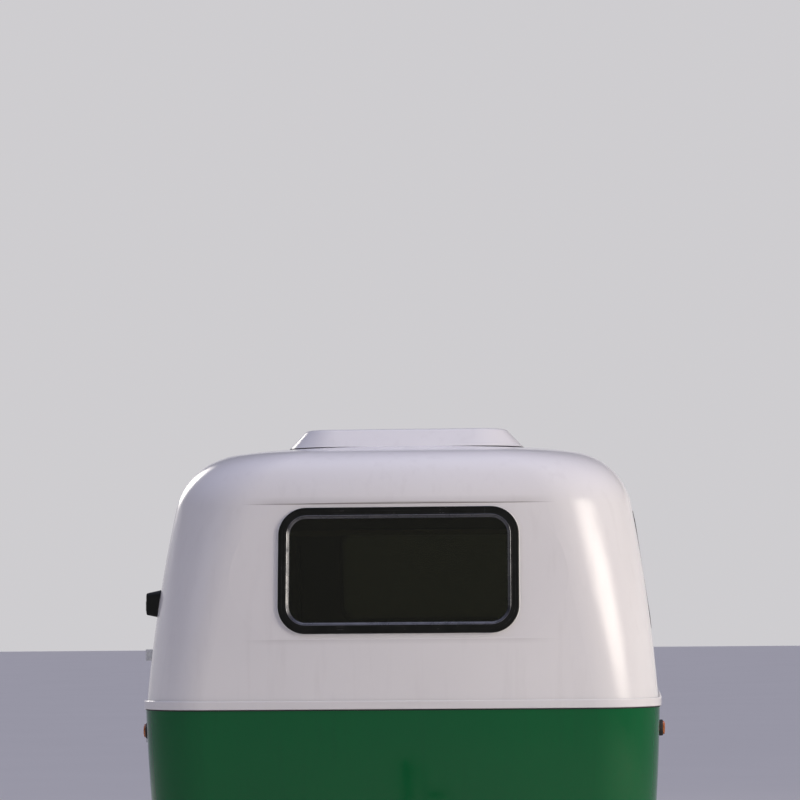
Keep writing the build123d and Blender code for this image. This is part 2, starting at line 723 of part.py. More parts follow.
# Hatch struts: cylinders on the body, rods towards the hatch
foot_y, foot_z = hatch_axis_y + STRUT_FOOT[0], hatch_axis_z + STRUT_FOOT[1]
eye_y, eye_z = hatch_axis_y + STRUT_EYE[0], hatch_axis_z + STRUT_EYE[1]
strut_length = math.hypot(eye_y - foot_y, eye_z - foot_z)
strut_way = ((eye_y - foot_y) / strut_length, (eye_z - foot_z) / strut_length)
open_eye = (
    STRUT_EYE[0] * cosine(STRUT_OPEN) - STRUT_EYE[1] * sine(STRUT_OPEN),
    STRUT_EYE[0] * sine(STRUT_OPEN) + STRUT_EYE[1] * cosine(STRUT_OPEN),
)
open_way = (open_eye[0] - STRUT_FOOT[0], open_eye[1] - STRUT_FOOT[1])
strut_stroke = math.hypot(*open_way) - strut_length
strut_swing = math.degrees(math.atan2(strut_way[1], strut_way[0]) - math.atan2(open_way[1], open_way[0]))
strut_line = Plane((STRUT_X, foot_y, foot_z), x_dir=(1, 0, 0), z_dir=(0, *strut_way))
eye_sides = (STRUT_X - STRUT_EYE_THICK / 2, STRUT_X + STRUT_EYE_THICK / 2)


def along_strut(radius, start, end):
    return extrude(strut_line.offset(start) * Circle(radius), end - start)


cylinder = along_strut(STRUT_BODY_RADIUS, STRUT_EYE_RADIUS / 2, strut_length - STRUT_END_ROOM)
cylinder += drum("x", STRUT_EYE_RADIUS, *eye_sides, (foot_y, foot_z))
cylinder -= drum("x", STRUT_PIN + STRUT_PIN_CLEARANCE, STRUT_X - FAR, STRUT_X + FAR, (foot_y, foot_z))
rod_start = strut_length - strut_stroke - STRUT_TAIL
cylinder -= along_strut(STRUT_ROD_RADIUS + STRUT_ROD_CLEARANCE, rod_start - STRUT_ROD_RADIUS, strut_length)
rod = along_strut(STRUT_ROD_RADIUS, rod_start, strut_length)
rod += drum("x", STRUT_EYE_RADIUS, *eye_sides, (eye_y, eye_z))
rod -= drum("x", STRUT_PIN + STRUT_PIN_CLEARANCE, STRUT_X - FAR, STRUT_X + FAR, (eye_y, eye_z))
keep("strut_cylinders", both_sides(cylinder))
keep("strut_rods", both_sides(rod))

plate_x = HATCH_WIDTH / 2 + HATCH_GAP
foot_plate = bar(
    (plate_x, plate_x + STRUT_FOOT_PLATE),
    (foot_y - STRUT_PLATE_EDGE, REAR_Y),
    (foot_z - STRUT_PLATE_HALF, foot_z + STRUT_PLATE_HALF),
)
foot_plate = foot_plate & upper_inner
foot_plate += drum("x", STRUT_PIN, eye_sides[0] - STRUT_PIN / 2, plate_x, (foot_y, foot_z))
keep("strut_brackets", both_sides(foot_plate))
eye_x = STRUT_X + STRUT_BODY_RADIUS + STRUT_SIDE_ROOM
eye_plate = bar(
    (eye_x, eye_x + STRUT_PLATE),
    (eye_y - STRUT_PLATE_EDGE, REAR_Y),
    (eye_z - STRUT_PLATE_HALF, eye_z + STRUT_PLATE_HALF),
)
eye_plate = eye_plate & upper_inner
eye_plate += drum("x", STRUT_PIN, eye_sides[1] + STRUT_STUD_SHORT, eye_x, (eye_y, eye_z))
keep("hatch_strut_brackets", both_sides(eye_plate))

# Roof vent: a flanged base with a collar through the roof, and a crowned lid hinged at its aft edge
flange = extrude(RectangleRounded(VENT_FLANGE, VENT_FLANGE, VENT_CORNER + VENT_LIP), VENT_RISE)
collar_width = VENT_OPENING - 2 * VENT_FIT
collar = extrude(RectangleRounded(collar_width, collar_width, VENT_CORNER - VENT_FIT), -WALL)
throat_width = collar_width - 2 * VENT_LIP
throat = extrude(RectangleRounded(throat_width, throat_width, VENT_CORNER / 2), FAR, both=True)
vent_axis_z = VENT_RISE + VENT_LID_GAP
ear_y = (VENT_HINGE_AFT - VENT_EAR_REACH, VENT_HINGE_AFT + VENT_BARREL)
vent_base = flange + collar - throat
for side in (-1, 1):
    ear_x = sorted((side * VENT_EAR_X, side * (VENT_EAR_X + VENT_EAR_THICK)))
    vent_base += bar(ear_x, ear_y, (0, vent_axis_z + VENT_BARREL))
    pin_x = sorted((side * (VENT_EAR_X - VENT_PIN_REACH), side * VENT_EAR_X))
    vent_base += drum("x", VENT_PIN, *pin_x, (VENT_HINGE_AFT, vent_axis_z))
keep("roof_vent_base", vent_place * vent_base)
lid_front = -VENT_FLANGE / 2
lid_middle = Plane((0, (lid_front + VENT_LID_AFT) / 2, VENT_RISE + VENT_LID_GAP))
lid_long = VENT_LID_AFT - lid_front
lid_corner = VENT_CORNER + VENT_LIP
lid_plan = RectangleRounded(VENT_FLANGE, lid_long, lid_corner)
lid = extrude(lid_middle * lid_plan, VENT_LID_TALL, taper=VENT_LID_TAPER)
lid = fillet(lid.faces().sort_by(Axis.Z)[-1].edges(), VENT_LID_ROUND)
lid_room = [size - 2 * VENT_LID_WALL for size in (VENT_FLANGE, lid_long)]
room_plan = RectangleRounded(*lid_room, lid_corner - VENT_LID_WALL)
lid -= extrude(lid_middle * room_plan, VENT_LID_TALL - VENT_LID_WALL, taper=VENT_LID_TAPER)
for side in (-1, 1):
    barrel_x = sorted((side * VENT_BARREL_X, side * (VENT_EAR_X - VENT_FIT)))
    lid += drum("x", VENT_BARREL, *barrel_x, (VENT_HINGE_AFT, vent_axis_z))
    web_y = (VENT_LID_AFT - VENT_LID_WALL, VENT_HINGE_AFT)
    lid += bar(barrel_x, web_y, (vent_axis_z, vent_axis_z + VENT_BARREL))
    lid -= drum("x", VENT_PIN + VENT_PIN_CLEARANCE, *barrel_x, (VENT_HINGE_AFT, vent_axis_z))
keep("roof_vent_lid", vent_place * lid)

# Chassis: two rails, a header, crossmembers and the two drawbar tubes that run together at the coupler
rail_z = (RAIL_BOTTOM, RAIL_TOP)
rail_inner_x = RAIL_X - RAIL_WIDTH / 2
rail_outer_x = RAIL_X + RAIL_WIDTH / 2
header_y = (RAIL_FRONT, RAIL_FRONT + CROSS_WIDTH)
keep("frame_rails", both_sides(bar((rail_inner_x, rail_outer_x), (header_y[1], RAIL_REAR), rail_z)))
crossmembers = bar((-rail_outer_x, rail_outer_x), header_y, rail_z).solids()
for middle in (*CROSS_PLACES, RAIL_REAR - CROSS_WIDTH / 2):
    across = (middle - CROSS_WIDTH / 2, middle + CROSS_WIDTH / 2)
    crossmembers += bar((-rail_inner_x, rail_inner_x), across, rail_z).solids()
keep("frame_crossmembers", Compound(crossmembers))
nose_y = BALL_Y + DRAWBAR_TO_BALL
tube_root_x = rail_outer_x - RAIL_WIDTH
spread = math.atan2(tube_root_x - DRAWBAR_NOSE_X, RAIL_FRONT - nose_y)
half_cut = RAIL_WIDTH / 2 / math.cos(spread)
tube_plan = Polyline(
    (tube_root_x - half_cut, RAIL_FRONT),
    (tube_root_x + half_cut, RAIL_FRONT),
    (DRAWBAR_NOSE_X + half_cut, nose_y),
    (DRAWBAR_NOSE_X - half_cut, nose_y),
    close=True,
)
drawbar_tube = Pos(0, 0, RAIL_BOTTOM) * extrude(make_face(tube_plan), RAIL_DEPTH)
keep("drawbar_tubes", both_sides(drawbar_tube))

# Coupler with its ball socket, and the latch on top
socket_radius = BALL_BORE + COUPLER_WALL
tail_y = BALL_Y + COUPLER_TAIL
half_tail = COUPLER_TAIL_WIDTH / 2
coupler_plan = Polyline(
    (-half_tail, tail_y),
    (half_tail, tail_y),
    (half_tail, tail_y - COUPLER_SHOULDER),
    (socket_radius, BALL_Y),
    (-socket_radius, BALL_Y),
    (-half_tail, tail_y - COUPLER_SHOULDER),
    close=True,
)
coupler = Pos(0, 0, RAIL_TOP) * extrude(make_face(coupler_plan), COUPLER_TALL)
coupler += drum("z", socket_radius, RAIL_TOP - COUPLER_LIP, BALL_HEIGHT, (0, BALL_Y))
coupler += Pos(0, BALL_Y, BALL_HEIGHT) * Sphere(socket_radius)
coupler -= drum("z", BALL_BORE, RAIL_TOP - COUPLER_LIP - socket_radius, BALL_HEIGHT, (0, BALL_Y))
coupler -= Pos(0, BALL_Y, BALL_HEIGHT) * Sphere(BALL_BORE)
socket_y = (BALL_Y - socket_radius, BALL_Y + socket_radius)
coupler -= bar((-socket_radius, socket_radius), socket_y, (0, RAIL_TOP - COUPLER_LIP))
keep("coupler", coupler)
latch_y = (BALL_Y + socket_radius + LATCH_THICK, BALL_Y + socket_radius + LATCH_THICK + LATCH_LENGTH)
latch_top = RAIL_TOP + COUPLER_TALL + LATCH_THICK
latch = bar((-LATCH_WIDTH / 2, LATCH_WIDTH / 2), latch_y, (RAIL_TOP + COUPLER_TALL, latch_top))
latch += bar(
    (-LATCH_WIDTH / 2, LATCH_WIDTH / 2),
    (latch_y[1] - LATCH_THICK, latch_y[1]),
    (RAIL_TOP + COUPLER_TALL, latch_top + LATCH_WIDTH),
)
keep("coupler_latch", latch)

# Jack: plate and tube on the drawbar, leg with its foot on the ground, gear head and crank
jack_at = (0, JACK_Y)
tube_inside = JACK_TUBE_RADIUS - JACK_TUBE_WALL
jack = bar(
    (-JACK_PLATE_WIDE / 2, JACK_PLATE_WIDE / 2),
    (JACK_Y - JACK_PLATE_LONG / 2, JACK_Y + JACK_PLATE_LONG / 2),
    (RAIL_TOP, RAIL_TOP + JACK_PLATE),
)
jack += drum("z", JACK_TUBE_RADIUS, JACK_TUBE_BOTTOM, JACK_TOP, jack_at)
jack -= drum("z", tube_inside, JACK_TUBE_BOTTOM - OVERSHOOT, JACK_TOP, jack_at)
head_radius = JACK_TUBE_RADIUS + JACK_TUBE_WALL
head = drum("z", head_radius, JACK_TOP - JACK_HEAD_LAP, JACK_TOP + JACK_HEAD_TALL, jack_at)
head = fillet(head.faces().sort_by(Axis.Z)[-1].edges(), JACK_HEAD_ROUND)
jack += head - drum("z", tube_inside, JACK_TUBE_BOTTOM, JACK_TOP, jack_at)
keep("jack_housing", jack)
leg_radius = tube_inside - JACK_LEG_CLEARANCE
leg = drum("z", leg_radius, JACK_FOOT_THICK, JACK_LEG_TOP, jack_at)
leg -= drum("z", leg_radius - JACK_LEG_WALL, 2 * JACK_FOOT_THICK, JACK_LEG_TOP, jack_at)
foot = drum("z", JACK_FOOT_RADIUS, 0, JACK_FOOT_THICK, jack_at)
cone = Cone(leg_radius + JACK_CONE_SPREAD, leg_radius, leg_radius)
cone = Pos(0, JACK_Y, JACK_FOOT_THICK + leg_radius / 2) * cone
keep("jack_leg", leg + foot + (cone - drum("z", leg_radius - JACK_LEG_WALL, 0, FAR, jack_at)))
crank_z = JACK_TOP + JACK_HEAD_TALL / 2
arm_x = head_radius + JACK_CRANK_STAND
crank = drum("x", JACK_CRANK_RADIUS, head_radius, arm_x + JACK_CRANK_RADIUS, (JACK_Y, crank_z))
crank += drum("z", JACK_CRANK_RADIUS, crank_z - JACK_CRANK_REACH, crank_z, (arm_x, JACK_Y))
crank += drum("x", JACK_GRIP_RADIUS, arm_x, arm_x + JACK_GRIP_LENGTH, (JACK_Y, crank_z - JACK_CRANK_REACH))
keep("jack_crank", crank)

# Axle: a beam under the rails with trailing arms out to the spindles
arm_outer_x = TYRE_INNER_X - AXLE_ARM_TO_TYRE
arm_inner_x = arm_outer_x - AXLE_ARM_THICK
beam_z = (BEAM_Z - AXLE_SECTION / 2, BEAM_Z + AXLE_SECTION / 2)
beam_y = (BEAM_Y - AXLE_SECTION / 2, BEAM_Y + AXLE_SECTION / 2)
keep("axle_beam", bar((-arm_inner_x, arm_inner_x), beam_y, beam_z))
arm_way = math.atan2(TYRE_RADIUS - BEAM_Z, AXLE_ARM_REACH)
side_y, side_z = -math.sin(arm_way), math.cos(arm_way)
arm_plane = Plane((arm_inner_x, 0, 0), x_dir=(0, 1, 0), z_dir=(1, 0, 0))
arm_plan = Polyline(
    (BEAM_Y + side_y * AXLE_ARM_ROOT, BEAM_Z + side_z * AXLE_ARM_ROOT),
    (AXLE_Y + side_y * AXLE_ARM_TIP, TYRE_RADIUS + side_z * AXLE_ARM_TIP),
    (AXLE_Y - side_y * AXLE_ARM_TIP, TYRE_RADIUS - side_z * AXLE_ARM_TIP),
    (BEAM_Y - side_y * AXLE_ARM_ROOT, BEAM_Z - side_z * AXLE_ARM_ROOT),
    close=True,
)
arm = extrude(arm_plane * make_face(arm_plan), AXLE_ARM_THICK)
arm += drum("x", AXLE_ARM_ROOT, arm_inner_x, arm_outer_x, (BEAM_Y, BEAM_Z))
arm += drum("x", AXLE_ARM_TIP, arm_inner_x, arm_outer_x, wheel_place)
spindle_end = WHEEL_X + HUB_OUT - SPINDLE_END_GAP
arm += drum("x", SPINDLE_RADIUS, arm_inner_x, spindle_end, wheel_place)
keep("axle_arms", both_sides(arm))


def turned_on_x(points):
    """A round piece about X from (radius, x) points and arcs, closed back to the first."""
    edges = []
    for start, end in zip(points, points[1:] + points[:1]):
        edges.append(Line((start[1], start[0]), (end[1], end[0])))
    return revolve(make_face(Wire(edges)), Axis.X)


# Wheels, about the origin with the outboard side towards +X
half_tyre = TYRE_WIDTH / 2
half_rim = RIM_WIDTH / 2
bead_top = RIM_RADIUS + RIM_LIP + RIM_BEAD_GAP
with BuildSketch(Plane.XY) as tyre_section:
    with BuildLine():
        Line((half_rim, RIM_RADIUS), (half_rim, bead_top))
        ThreePointArc((half_rim, bead_top), (half_tyre, TYRE_BULGE), (TYRE_SHOULDER_X, TYRE_SHOULDER))
        ThreePointArc((TYRE_SHOULDER_X, TYRE_SHOULDER), (0, TYRE_RADIUS), (-TYRE_SHOULDER_X, TYRE_SHOULDER))
        ThreePointArc((-TYRE_SHOULDER_X, TYRE_SHOULDER), (-half_tyre, TYRE_BULGE), (-half_rim, bead_top))
        Line((-half_rim, bead_top), (-half_rim, RIM_RADIUS))
        Line((-half_rim, RIM_RADIUS), (half_rim, RIM_RADIUS))
    make_face()
    for place in TYRE_GROOVES:
        with Locations((place, TYRE_RADIUS)):
            Rectangle(TYRE_GROOVE_WIDTH, 2 * TYRE_GROOVE_DEPTH, mode=Mode.SUBTRACT)
tyre = revolve(tyre_section.sketch, Axis.X)
inside = RIM_RADIUS - RIM_SHEET
lip = RIM_RADIUS + RIM_LIP
rim_points = [
    (RIM_RADIUS, -half_rim),
    (lip, -half_rim),
    (lip, -half_rim - RIM_SHEET),
    (inside, -half_rim - RIM_SHEET),
    (inside, half_rim + RIM_SHEET),
    (lip, half_rim + RIM_SHEET),
    (lip, half_rim),
    (RIM_RADIUS, half_rim),
]
dish_points = [
    (inside, RIM_DISC_ROOT),
    (RIM_DISH_RADIUS, HUB_OUT - RIM_DISC_THICK),
    (RIM_DISH_RADIUS, HUB_OUT),
    (inside, RIM_DISC_ROOT + RIM_DISC_THICK),
]
bore = SPINDLE_RADIUS + SPINDLE_CLEARANCE
hub_points = [
    (bore, -HUB_IN),
    (HUB_RADIUS, -HUB_IN),
    (HUB_RADIUS, HUB_OUT - RIM_DISC_THICK),
    (RIM_DISH_RADIUS, HUB_OUT - RIM_DISC_THICK),
    (RIM_DISH_RADIUS, HUB_OUT),
    (bore, HUB_OUT),
]
rim_wheel = turned_on_x(rim_points) + turned_on_x(dish_points) + turned_on_x(hub_points)
for turn in range(RIM_HOLES):
    angle = 360.0 * turn / RIM_HOLES
    place = (RIM_HOLE_CIRCLE * cosine(angle), RIM_HOLE_CIRCLE * sine(angle))
    rim_wheel -= drum("x", RIM_HOLE_RADIUS, 0, half_tyre, place)
cap_sphere = (HUB_CAP_RADIUS**2 + HUB_CAP_TALL**2) / (2 * HUB_CAP_TALL)
cap_centre = HUB_OUT + HUB_CAP_TALL - cap_sphere


def cap_arc(radius):
    """The cap's profile at a radius: its points on the rim wheel's face, half way up and on the axis."""
    edge = math.acos((HUB_OUT - cap_centre) / radius)
    return [(cap_centre + radius * math.cos(turn), radius * math.sin(turn)) for turn in (edge, edge / 2, 0)]


outer_arc, inner_arc = cap_arc(cap_sphere), cap_arc(cap_sphere - HUB_CAP_WALL)
cap_edges = [
    ThreePointArc(*outer_arc),
    Line(outer_arc[2], inner_arc[2]),
    ThreePointArc(*reversed(inner_arc)),
    Line(inner_arc[0], outer_arc[0]),
]
hub_cap = revolve(make_face(Wire(cap_edges)), Axis.X)
left_place = Pos(WHEEL_X, AXLE_Y, TYRE_RADIUS)
for name, shape in (("tyre", tyre), ("rim", rim_wheel), ("hub_cap", hub_cap)):
    keep(f"{name}_left", left_place * shape)
    keep(f"{name}_right", mirror(left_place * shape, Plane.YZ))

# Steadies: brackets under the rails and a folding leg at each side
pivot_z = RAIL_BOTTOM - STEADY_PIVOT_DROP
pivot = (STEADY_PIVOT_Y, pivot_z)
half_leg = STEADY_SECTION / 2
ear_in = half_leg + STEADY_EAR_GAP
ear_out = ear_in + STEADY_EAR_THICK
ear_along = (STEADY_PIVOT_Y - STEADY_EAR_LONG / 2, STEADY_PIVOT_Y + STEADY_EAR_LONG / 2)
bracket = bar((STEADY_X - ear_out, rail_outer_x), ear_along, (RAIL_BOTTOM - STEADY_PLATE, RAIL_BOTTOM))
for side in (-1, 1):
    ear_x = sorted((STEADY_X + side * ear_in, STEADY_X + side * ear_out))
    bracket += bar(ear_x, ear_along, (pivot_z - half_leg, RAIL_BOTTOM))
bracket += drum("x", STEADY_PIN, STEADY_X - ear_out, STEADY_X + ear_out, pivot)
keep("steady_brackets", both_sides(bracket))
steady = drum("x", STEADY_BARREL, STEADY_X - half_leg, STEADY_X + half_leg, pivot)
leg_end = STEADY_PIVOT_Y - STEADY_LENGTH
steady += bar(
    (STEADY_X - half_leg, STEADY_X + half_leg),
    (leg_end, STEADY_PIVOT_Y),
    (pivot_z - half_leg, pivot_z + half_leg),
)
steady += bar(
    (STEADY_X - STEADY_PAD_WIDE / 2, STEADY_X + STEADY_PAD_WIDE / 2),
    (leg_end - STEADY_PAD_THICK, leg_end),
    (pivot_z - STEADY_PAD_TALL / 2, pivot_z + STEADY_PAD_TALL / 2),
)
steady -= drum("x", STEADY_PIN + STEADY_PIN_CLEARANCE, STEADY_X - FAR, STEADY_X + FAR, pivot)
keep("steady_left", steady)
keep("steady_right", mirror(steady, Plane.YZ))

# Lamps, inlet, handles and plate bracket, each seated on the wall
lamp_y = rear_wall_y(LAMP_HEIGHT)
lamp = drum("y", LAMP_RADIUS, lamp_y - 3 * WALL, lamp_y + LAMP_PROUD, (LAMP_X, LAMP_HEIGHT))
keep("tail_lamps", both_sides(lamp - lower_outer))
marker_x = side_x(MARKER_HEIGHT)
markers = []
for along in (BODY_Y - MARKER_ALONG, BODY_Y + MARKER_ALONG):
    marker = drum("x", MARKER_RADIUS, marker_x - 3 * WALL, marker_x + MARKER_PROUD, (along, MARKER_HEIGHT))
    markers += both_sides(marker - lower_outer).solids()
keep("side_markers", Compound(markers))
inlet_x = side_x(INLET_HEIGHT)
inlet_at = (BODY_Y + INLET_ALONG, INLET_HEIGHT)
inlet = drum("x", INLET_RADIUS, inlet_x - 2 * WALL, inlet_x + INLET_PROUD, inlet_at)
keep("power_inlet", inlet - lower_outer)
porch_face = side_x(PORCH_LAMP_HEIGHT) + PORCH_LAMP_PROUD
porch_at = (-porch_face, BODY_Y - PORCH_LAMP_ALONG, PORCH_LAMP_HEIGHT)
porch_plane = Plane(porch_at, x_dir=(0, 1, 0), z_dir=(1, 0, 0))
porch_plan = RectangleRounded(PORCH_LAMP_WIDE, PORCH_LAMP_TALL, PORCH_LAMP_CORNER)
porch_lamp = extrude(porch_plane * porch_plan, PORCH_LAMP_PROUD + 2 * WALL, taper=-PORCH_LAMP_TAPER)
porch_lamp = fillet(porch_lamp.faces().sort_by(Axis.X)[0].edges(), PORCH_LAMP_ROUND)
keep("porch_lamp", porch_lamp - upper_outer)

handle_at = (door_aft - HANDLE_FROM_EDGE, HANDLE_HEIGHT)
handle_x = side_x(HANDLE_HEIGHT)
plate_face = handle_x + HANDLE_PLATE_PROUD
lever_long, lever_tall, lever_thick = HANDLE_LEVER
lever_face = plate_face + HANDLE_LIFT
handle = drum("x", HANDLE_PLATE_RADIUS, handle_x - WALL, plate_face, handle_at)
handle += drum("x", HANDLE_POST, plate_face, lever_face, handle_at)
handle += bar(
    (lever_face, lever_face + lever_thick),
    (handle_at[0] - lever_long + HANDLE_POST, handle_at[0] + HANDLE_POST),
    (HANDLE_HEIGHT - lever_tall / 2, HANDLE_HEIGHT + lever_tall / 2),
)
keep("door_handle", mirror(handle, Plane.YZ) - lower_outer)
grip_wall = rear_wall_y(GRIP_HEIGHT)
grip_line = grip_wall + GRIP_LIFT
grip = drum("x", GRIP_BAR, -GRIP_WIDTH / 2, GRIP_WIDTH / 2, (grip_line, GRIP_HEIGHT))
for side in (-1, 1):
    post_x = side * (GRIP_WIDTH / 2 - GRIP_POST)
    grip += drum("y", GRIP_POST, grip_wall - WALL, grip_line, (post_x, GRIP_HEIGHT))
keep("hatch_handle", grip - lower_outer)
plate_low, plate_high = PLATE_MIDDLE - PLATE_HEIGHT / 2, PLATE_MIDDLE + PLATE_HEIGHT / 2
plate_y = REAR_Y - PLATE_FACE_IN
plate_thick_y = (plate_y - PLATE_THICK, plate_y)
bracket = bar((-PLATE_WIDTH / 2, PLATE_WIDTH / 2), plate_thick_y, (plate_low, plate_high))
for side in (-1, 1):
    rib_x = sorted((side * PLATE_RIB_X, side * (PLATE_RIB_X + PLATE_RIB)))
    rib_y = (plate_y - 3 * WALL, plate_y - PLATE_THICK)
    bracket += bar(rib_x, rib_y, (plate_low + PLATE_RIB, plate_high - PLATE_RIB))
    hole_at = (side * PLATE_HOLE_SPACING / 2, plate_high - PLATE_HOLE_EDGE)
    bracket -= drum("y", PLATE_HOLE_RADIUS, plate_y - WALL, plate_y + WALL, hole_at)
keep("plate_bracket", bracket - lower_outer)

# Places of the joints and mounts, in millimetres
for label, place in (
    ("wheel axis", (WHEEL_X, AXLE_Y, TYRE_RADIUS)),
    ("door hinge", (door_axis_x, door_axis_y, 0)),
    ("hatch hinge", (0, hatch_axis_y, hatch_axis_z)),
    ("strut foot", (STRUT_X, foot_y, foot_z)),
    ("strut direction", (0, *strut_way)),
    ("strut swing in degrees and stroke", (-strut_swing, strut_stroke)),
    ("vent hinge", (0, vent_y + VENT_HINGE_AFT, ROOF_TOP + vent_axis_z)),
    ("jack", (0, JACK_Y, 0)),
    ("steady pivot", (STEADY_X, *pivot)),
    ("ball", (0, BALL_Y, BALL_HEIGHT)),
    ("plate holes", (0, plate_y, plate_high - PLATE_HOLE_EDGE)),
):
    print(label, [round(value, 4) for value in place])

os.makedirs("parts", exist_ok=True)
for name, shape in parts.items():
    export_step(shape, f"parts/{name}.step")
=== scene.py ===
"""Looks of a small two-tone moulded camper trailer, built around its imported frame.

Metres, +Z up, the drawbar towards -Y and the entry door on the -X side.
"""

from __future__ import annotations

import json
import logging
import math
from dataclasses import dataclass
from enum import Enum
from typing import Optional, Sequence

import bmesh
import bpy
from mathutils import Matrix, Vector
from mathutils.bvhtree import BVHTree


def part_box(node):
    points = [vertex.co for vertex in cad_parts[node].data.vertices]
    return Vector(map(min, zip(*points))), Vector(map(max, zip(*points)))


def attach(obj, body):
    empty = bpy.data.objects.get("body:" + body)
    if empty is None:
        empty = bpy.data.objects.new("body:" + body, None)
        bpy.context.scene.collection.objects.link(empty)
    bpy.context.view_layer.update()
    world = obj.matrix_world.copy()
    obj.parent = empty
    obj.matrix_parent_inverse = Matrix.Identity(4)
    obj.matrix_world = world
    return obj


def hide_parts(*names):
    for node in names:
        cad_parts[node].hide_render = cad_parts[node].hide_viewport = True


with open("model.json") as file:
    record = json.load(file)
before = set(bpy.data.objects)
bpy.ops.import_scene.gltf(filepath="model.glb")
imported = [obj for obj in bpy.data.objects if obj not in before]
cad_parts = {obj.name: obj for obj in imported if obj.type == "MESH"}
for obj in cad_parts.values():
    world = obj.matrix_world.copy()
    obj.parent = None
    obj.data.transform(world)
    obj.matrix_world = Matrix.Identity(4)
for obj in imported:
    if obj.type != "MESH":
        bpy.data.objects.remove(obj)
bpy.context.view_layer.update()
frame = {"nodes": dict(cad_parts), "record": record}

log = logging.getLogger("trailer")

Colour = tuple[float, float, float]
Point = tuple[float, float, float]
Flat = tuple[float, float]
Hit = tuple[Vector, Vector]

WELD = 1e-6  # points nearer than this become one
SMALLEST_CORNER = 1e-4
FACE_TOLERANCE = 1e-4  # how far a point of a pane's face may lie under it
CABIN_MIDDLE: Point = (0.0, 0.457, 1.2)
AXLE: Flat = (0.607, 0.305)  # Y and Z of the axle, which is the middle of the wheel arches
ARCH_REACH = 0.395
ARCH_FROM_SIDE = 0.70  # the arches lie further out than this X
# The ways to each corner of a rectangle, and the angle where the corner's arc starts.
CORNERS = ((1, 1, 0), (-1, 1, 90), (-1, -1, 180), (1, -1, 270))
SIDES = ((-1, "right"), (1, "left"))
ORIGIN = Vector((0, 0, 0))
LEFTWARDS = Vector((1, 0, 0))
REARWARDS = Vector((0, 1, 0))
UPWARDS = Vector((0, 0, 1))


class Body(Enum):
    """The bodies that added pieces ride on."""

    TRAILER = "trailer_body"
    WHEEL_LEFT = "wheel_left"
    WHEEL_RIGHT = "wheel_right"
    DOOR = "entry_door"
    HATCH = "rear_hatch"
    VENT_LID = "roof_vent_lid"


class Slot(Enum):
    """The record's material slots, which give the imported nodes their finish."""

    GREEN = "green_gelcoat"
    WHITE = "white_gelcoat"
    LINER = "liner"
    FRAME = "window_frame"
    PANE = "tinted_pane"
    PLATED = "plated_steel"
    CHASSIS = "chassis_paint"
    VENT = "vent_plastic"
    RED = "red_lens"
    AMBER = "amber_lens"
    TYRE = "tyre"
    WHEEL = "wheel_paint"
    CHROME = "chrome"


@dataclass(frozen=True)
class Station:
    """A flat place on the trailer: its middle, two directions in it and the one out of it."""

    middle: Vector
    across: Vector
    up: Vector
    out: Vector

    def at(self, across: float, up: float, out: float = 0.0) -> Vector:
        """The point at distances along the three directions."""
        return self.middle + self.across * across + self.up * up + self.out * out

    def moved(self, across: float, up: float, out: float) -> Station:
        """The station at distances along its own directions."""
        return Station(self.at(across, up, out), self.across, self.up, self.out)

    @classmethod
    def facing(cls, middle: Vector, out: Vector) -> Station:
        """The station at a point that faces a way, with its across direction level."""
        across = UPWARDS.cross(out).normalized()
        return cls(middle, across, out.cross(across), out)


def rounded(half_width: float, half_height: float, corner: float, steps: int) -> list[Flat]:
    """A rectangle with round corners, counter-clockwise.

    Args:
        half_width: Half its width.
        half_height: Half its height.
        corner: Radius of its corners.
        steps: Faces round each corner.

    Returns:
        Points in its own plane.
    """
    points = []
    for way_x, way_y, start in CORNERS:
        for step in range(steps + 1):
            turn = math.radians(start + 90 * step / steps)
            x = way_x * (half_width - corner) + corner * math.cos(turn)
            y = way_y * (half_height - corner) + corner * math.sin(turn)
            points.append((x, y))
    return points


def walk(half_width: float, half_height: float, corner: float, spacing: float) -> list[tuple[Flat, Flat]]:
    """Evenly spaced points round a rectangle with round corners, each with its outward direction.

    Args:
        half_width: Half its width.
        half_height: Half its height.
        corner: Radius of its corners.
        spacing: The most between two points.

    Returns:
        Pairs of point and direction.
    """
    path = []
    straight_x, straight_y = half_width - corner, half_height - corner
    arc_steps = math.ceil(corner * math.pi / 2 / spacing)
    for way_x, way_y, start in CORNERS:
        for step in range(arc_steps + 1):
            turn = math.radians(start + 90 * step / arc_steps)
            way = (math.cos(turn), math.sin(turn))
            path.append(((way_x * straight_x + corner * way[0], way_y * straight_y + corner * way[1]), way))
        run = 2 * (straight_x if start % 180 == 0 else straight_y)
        last, way = path[-1]
        steps = math.ceil(run / spacing)
        along = (-round(way[1]), round(way[0]))
        for step in range(1, steps):
            gone = run * step / steps
            path.append(((last[0] + along[0] * gone, last[1] + along[1] * gone), way))
    return path


def turned(profile: Sequence[Flat], origin: Vector, axis: Vector, sides: int) -> list[list[Vector]]:
    """Rings of points round an axis.

    Args:
        profile: Pairs of radius and height.
        origin: Where height 0 is.
        axis: The way that height goes.
        sides: Points in each ring.

    Returns:
        One ring for each pair.
    """
    axis = axis.normalized()
    side = axis.orthogonal().normalized()
    other = axis.cross(side)
    turns = [2 * math.pi * k / sides for k in range(sides)]
    return [
        [origin + axis * height + (side * math.cos(t) + other * math.sin(t)) * radius for t in turns]
        for radius, height in profile
    ]


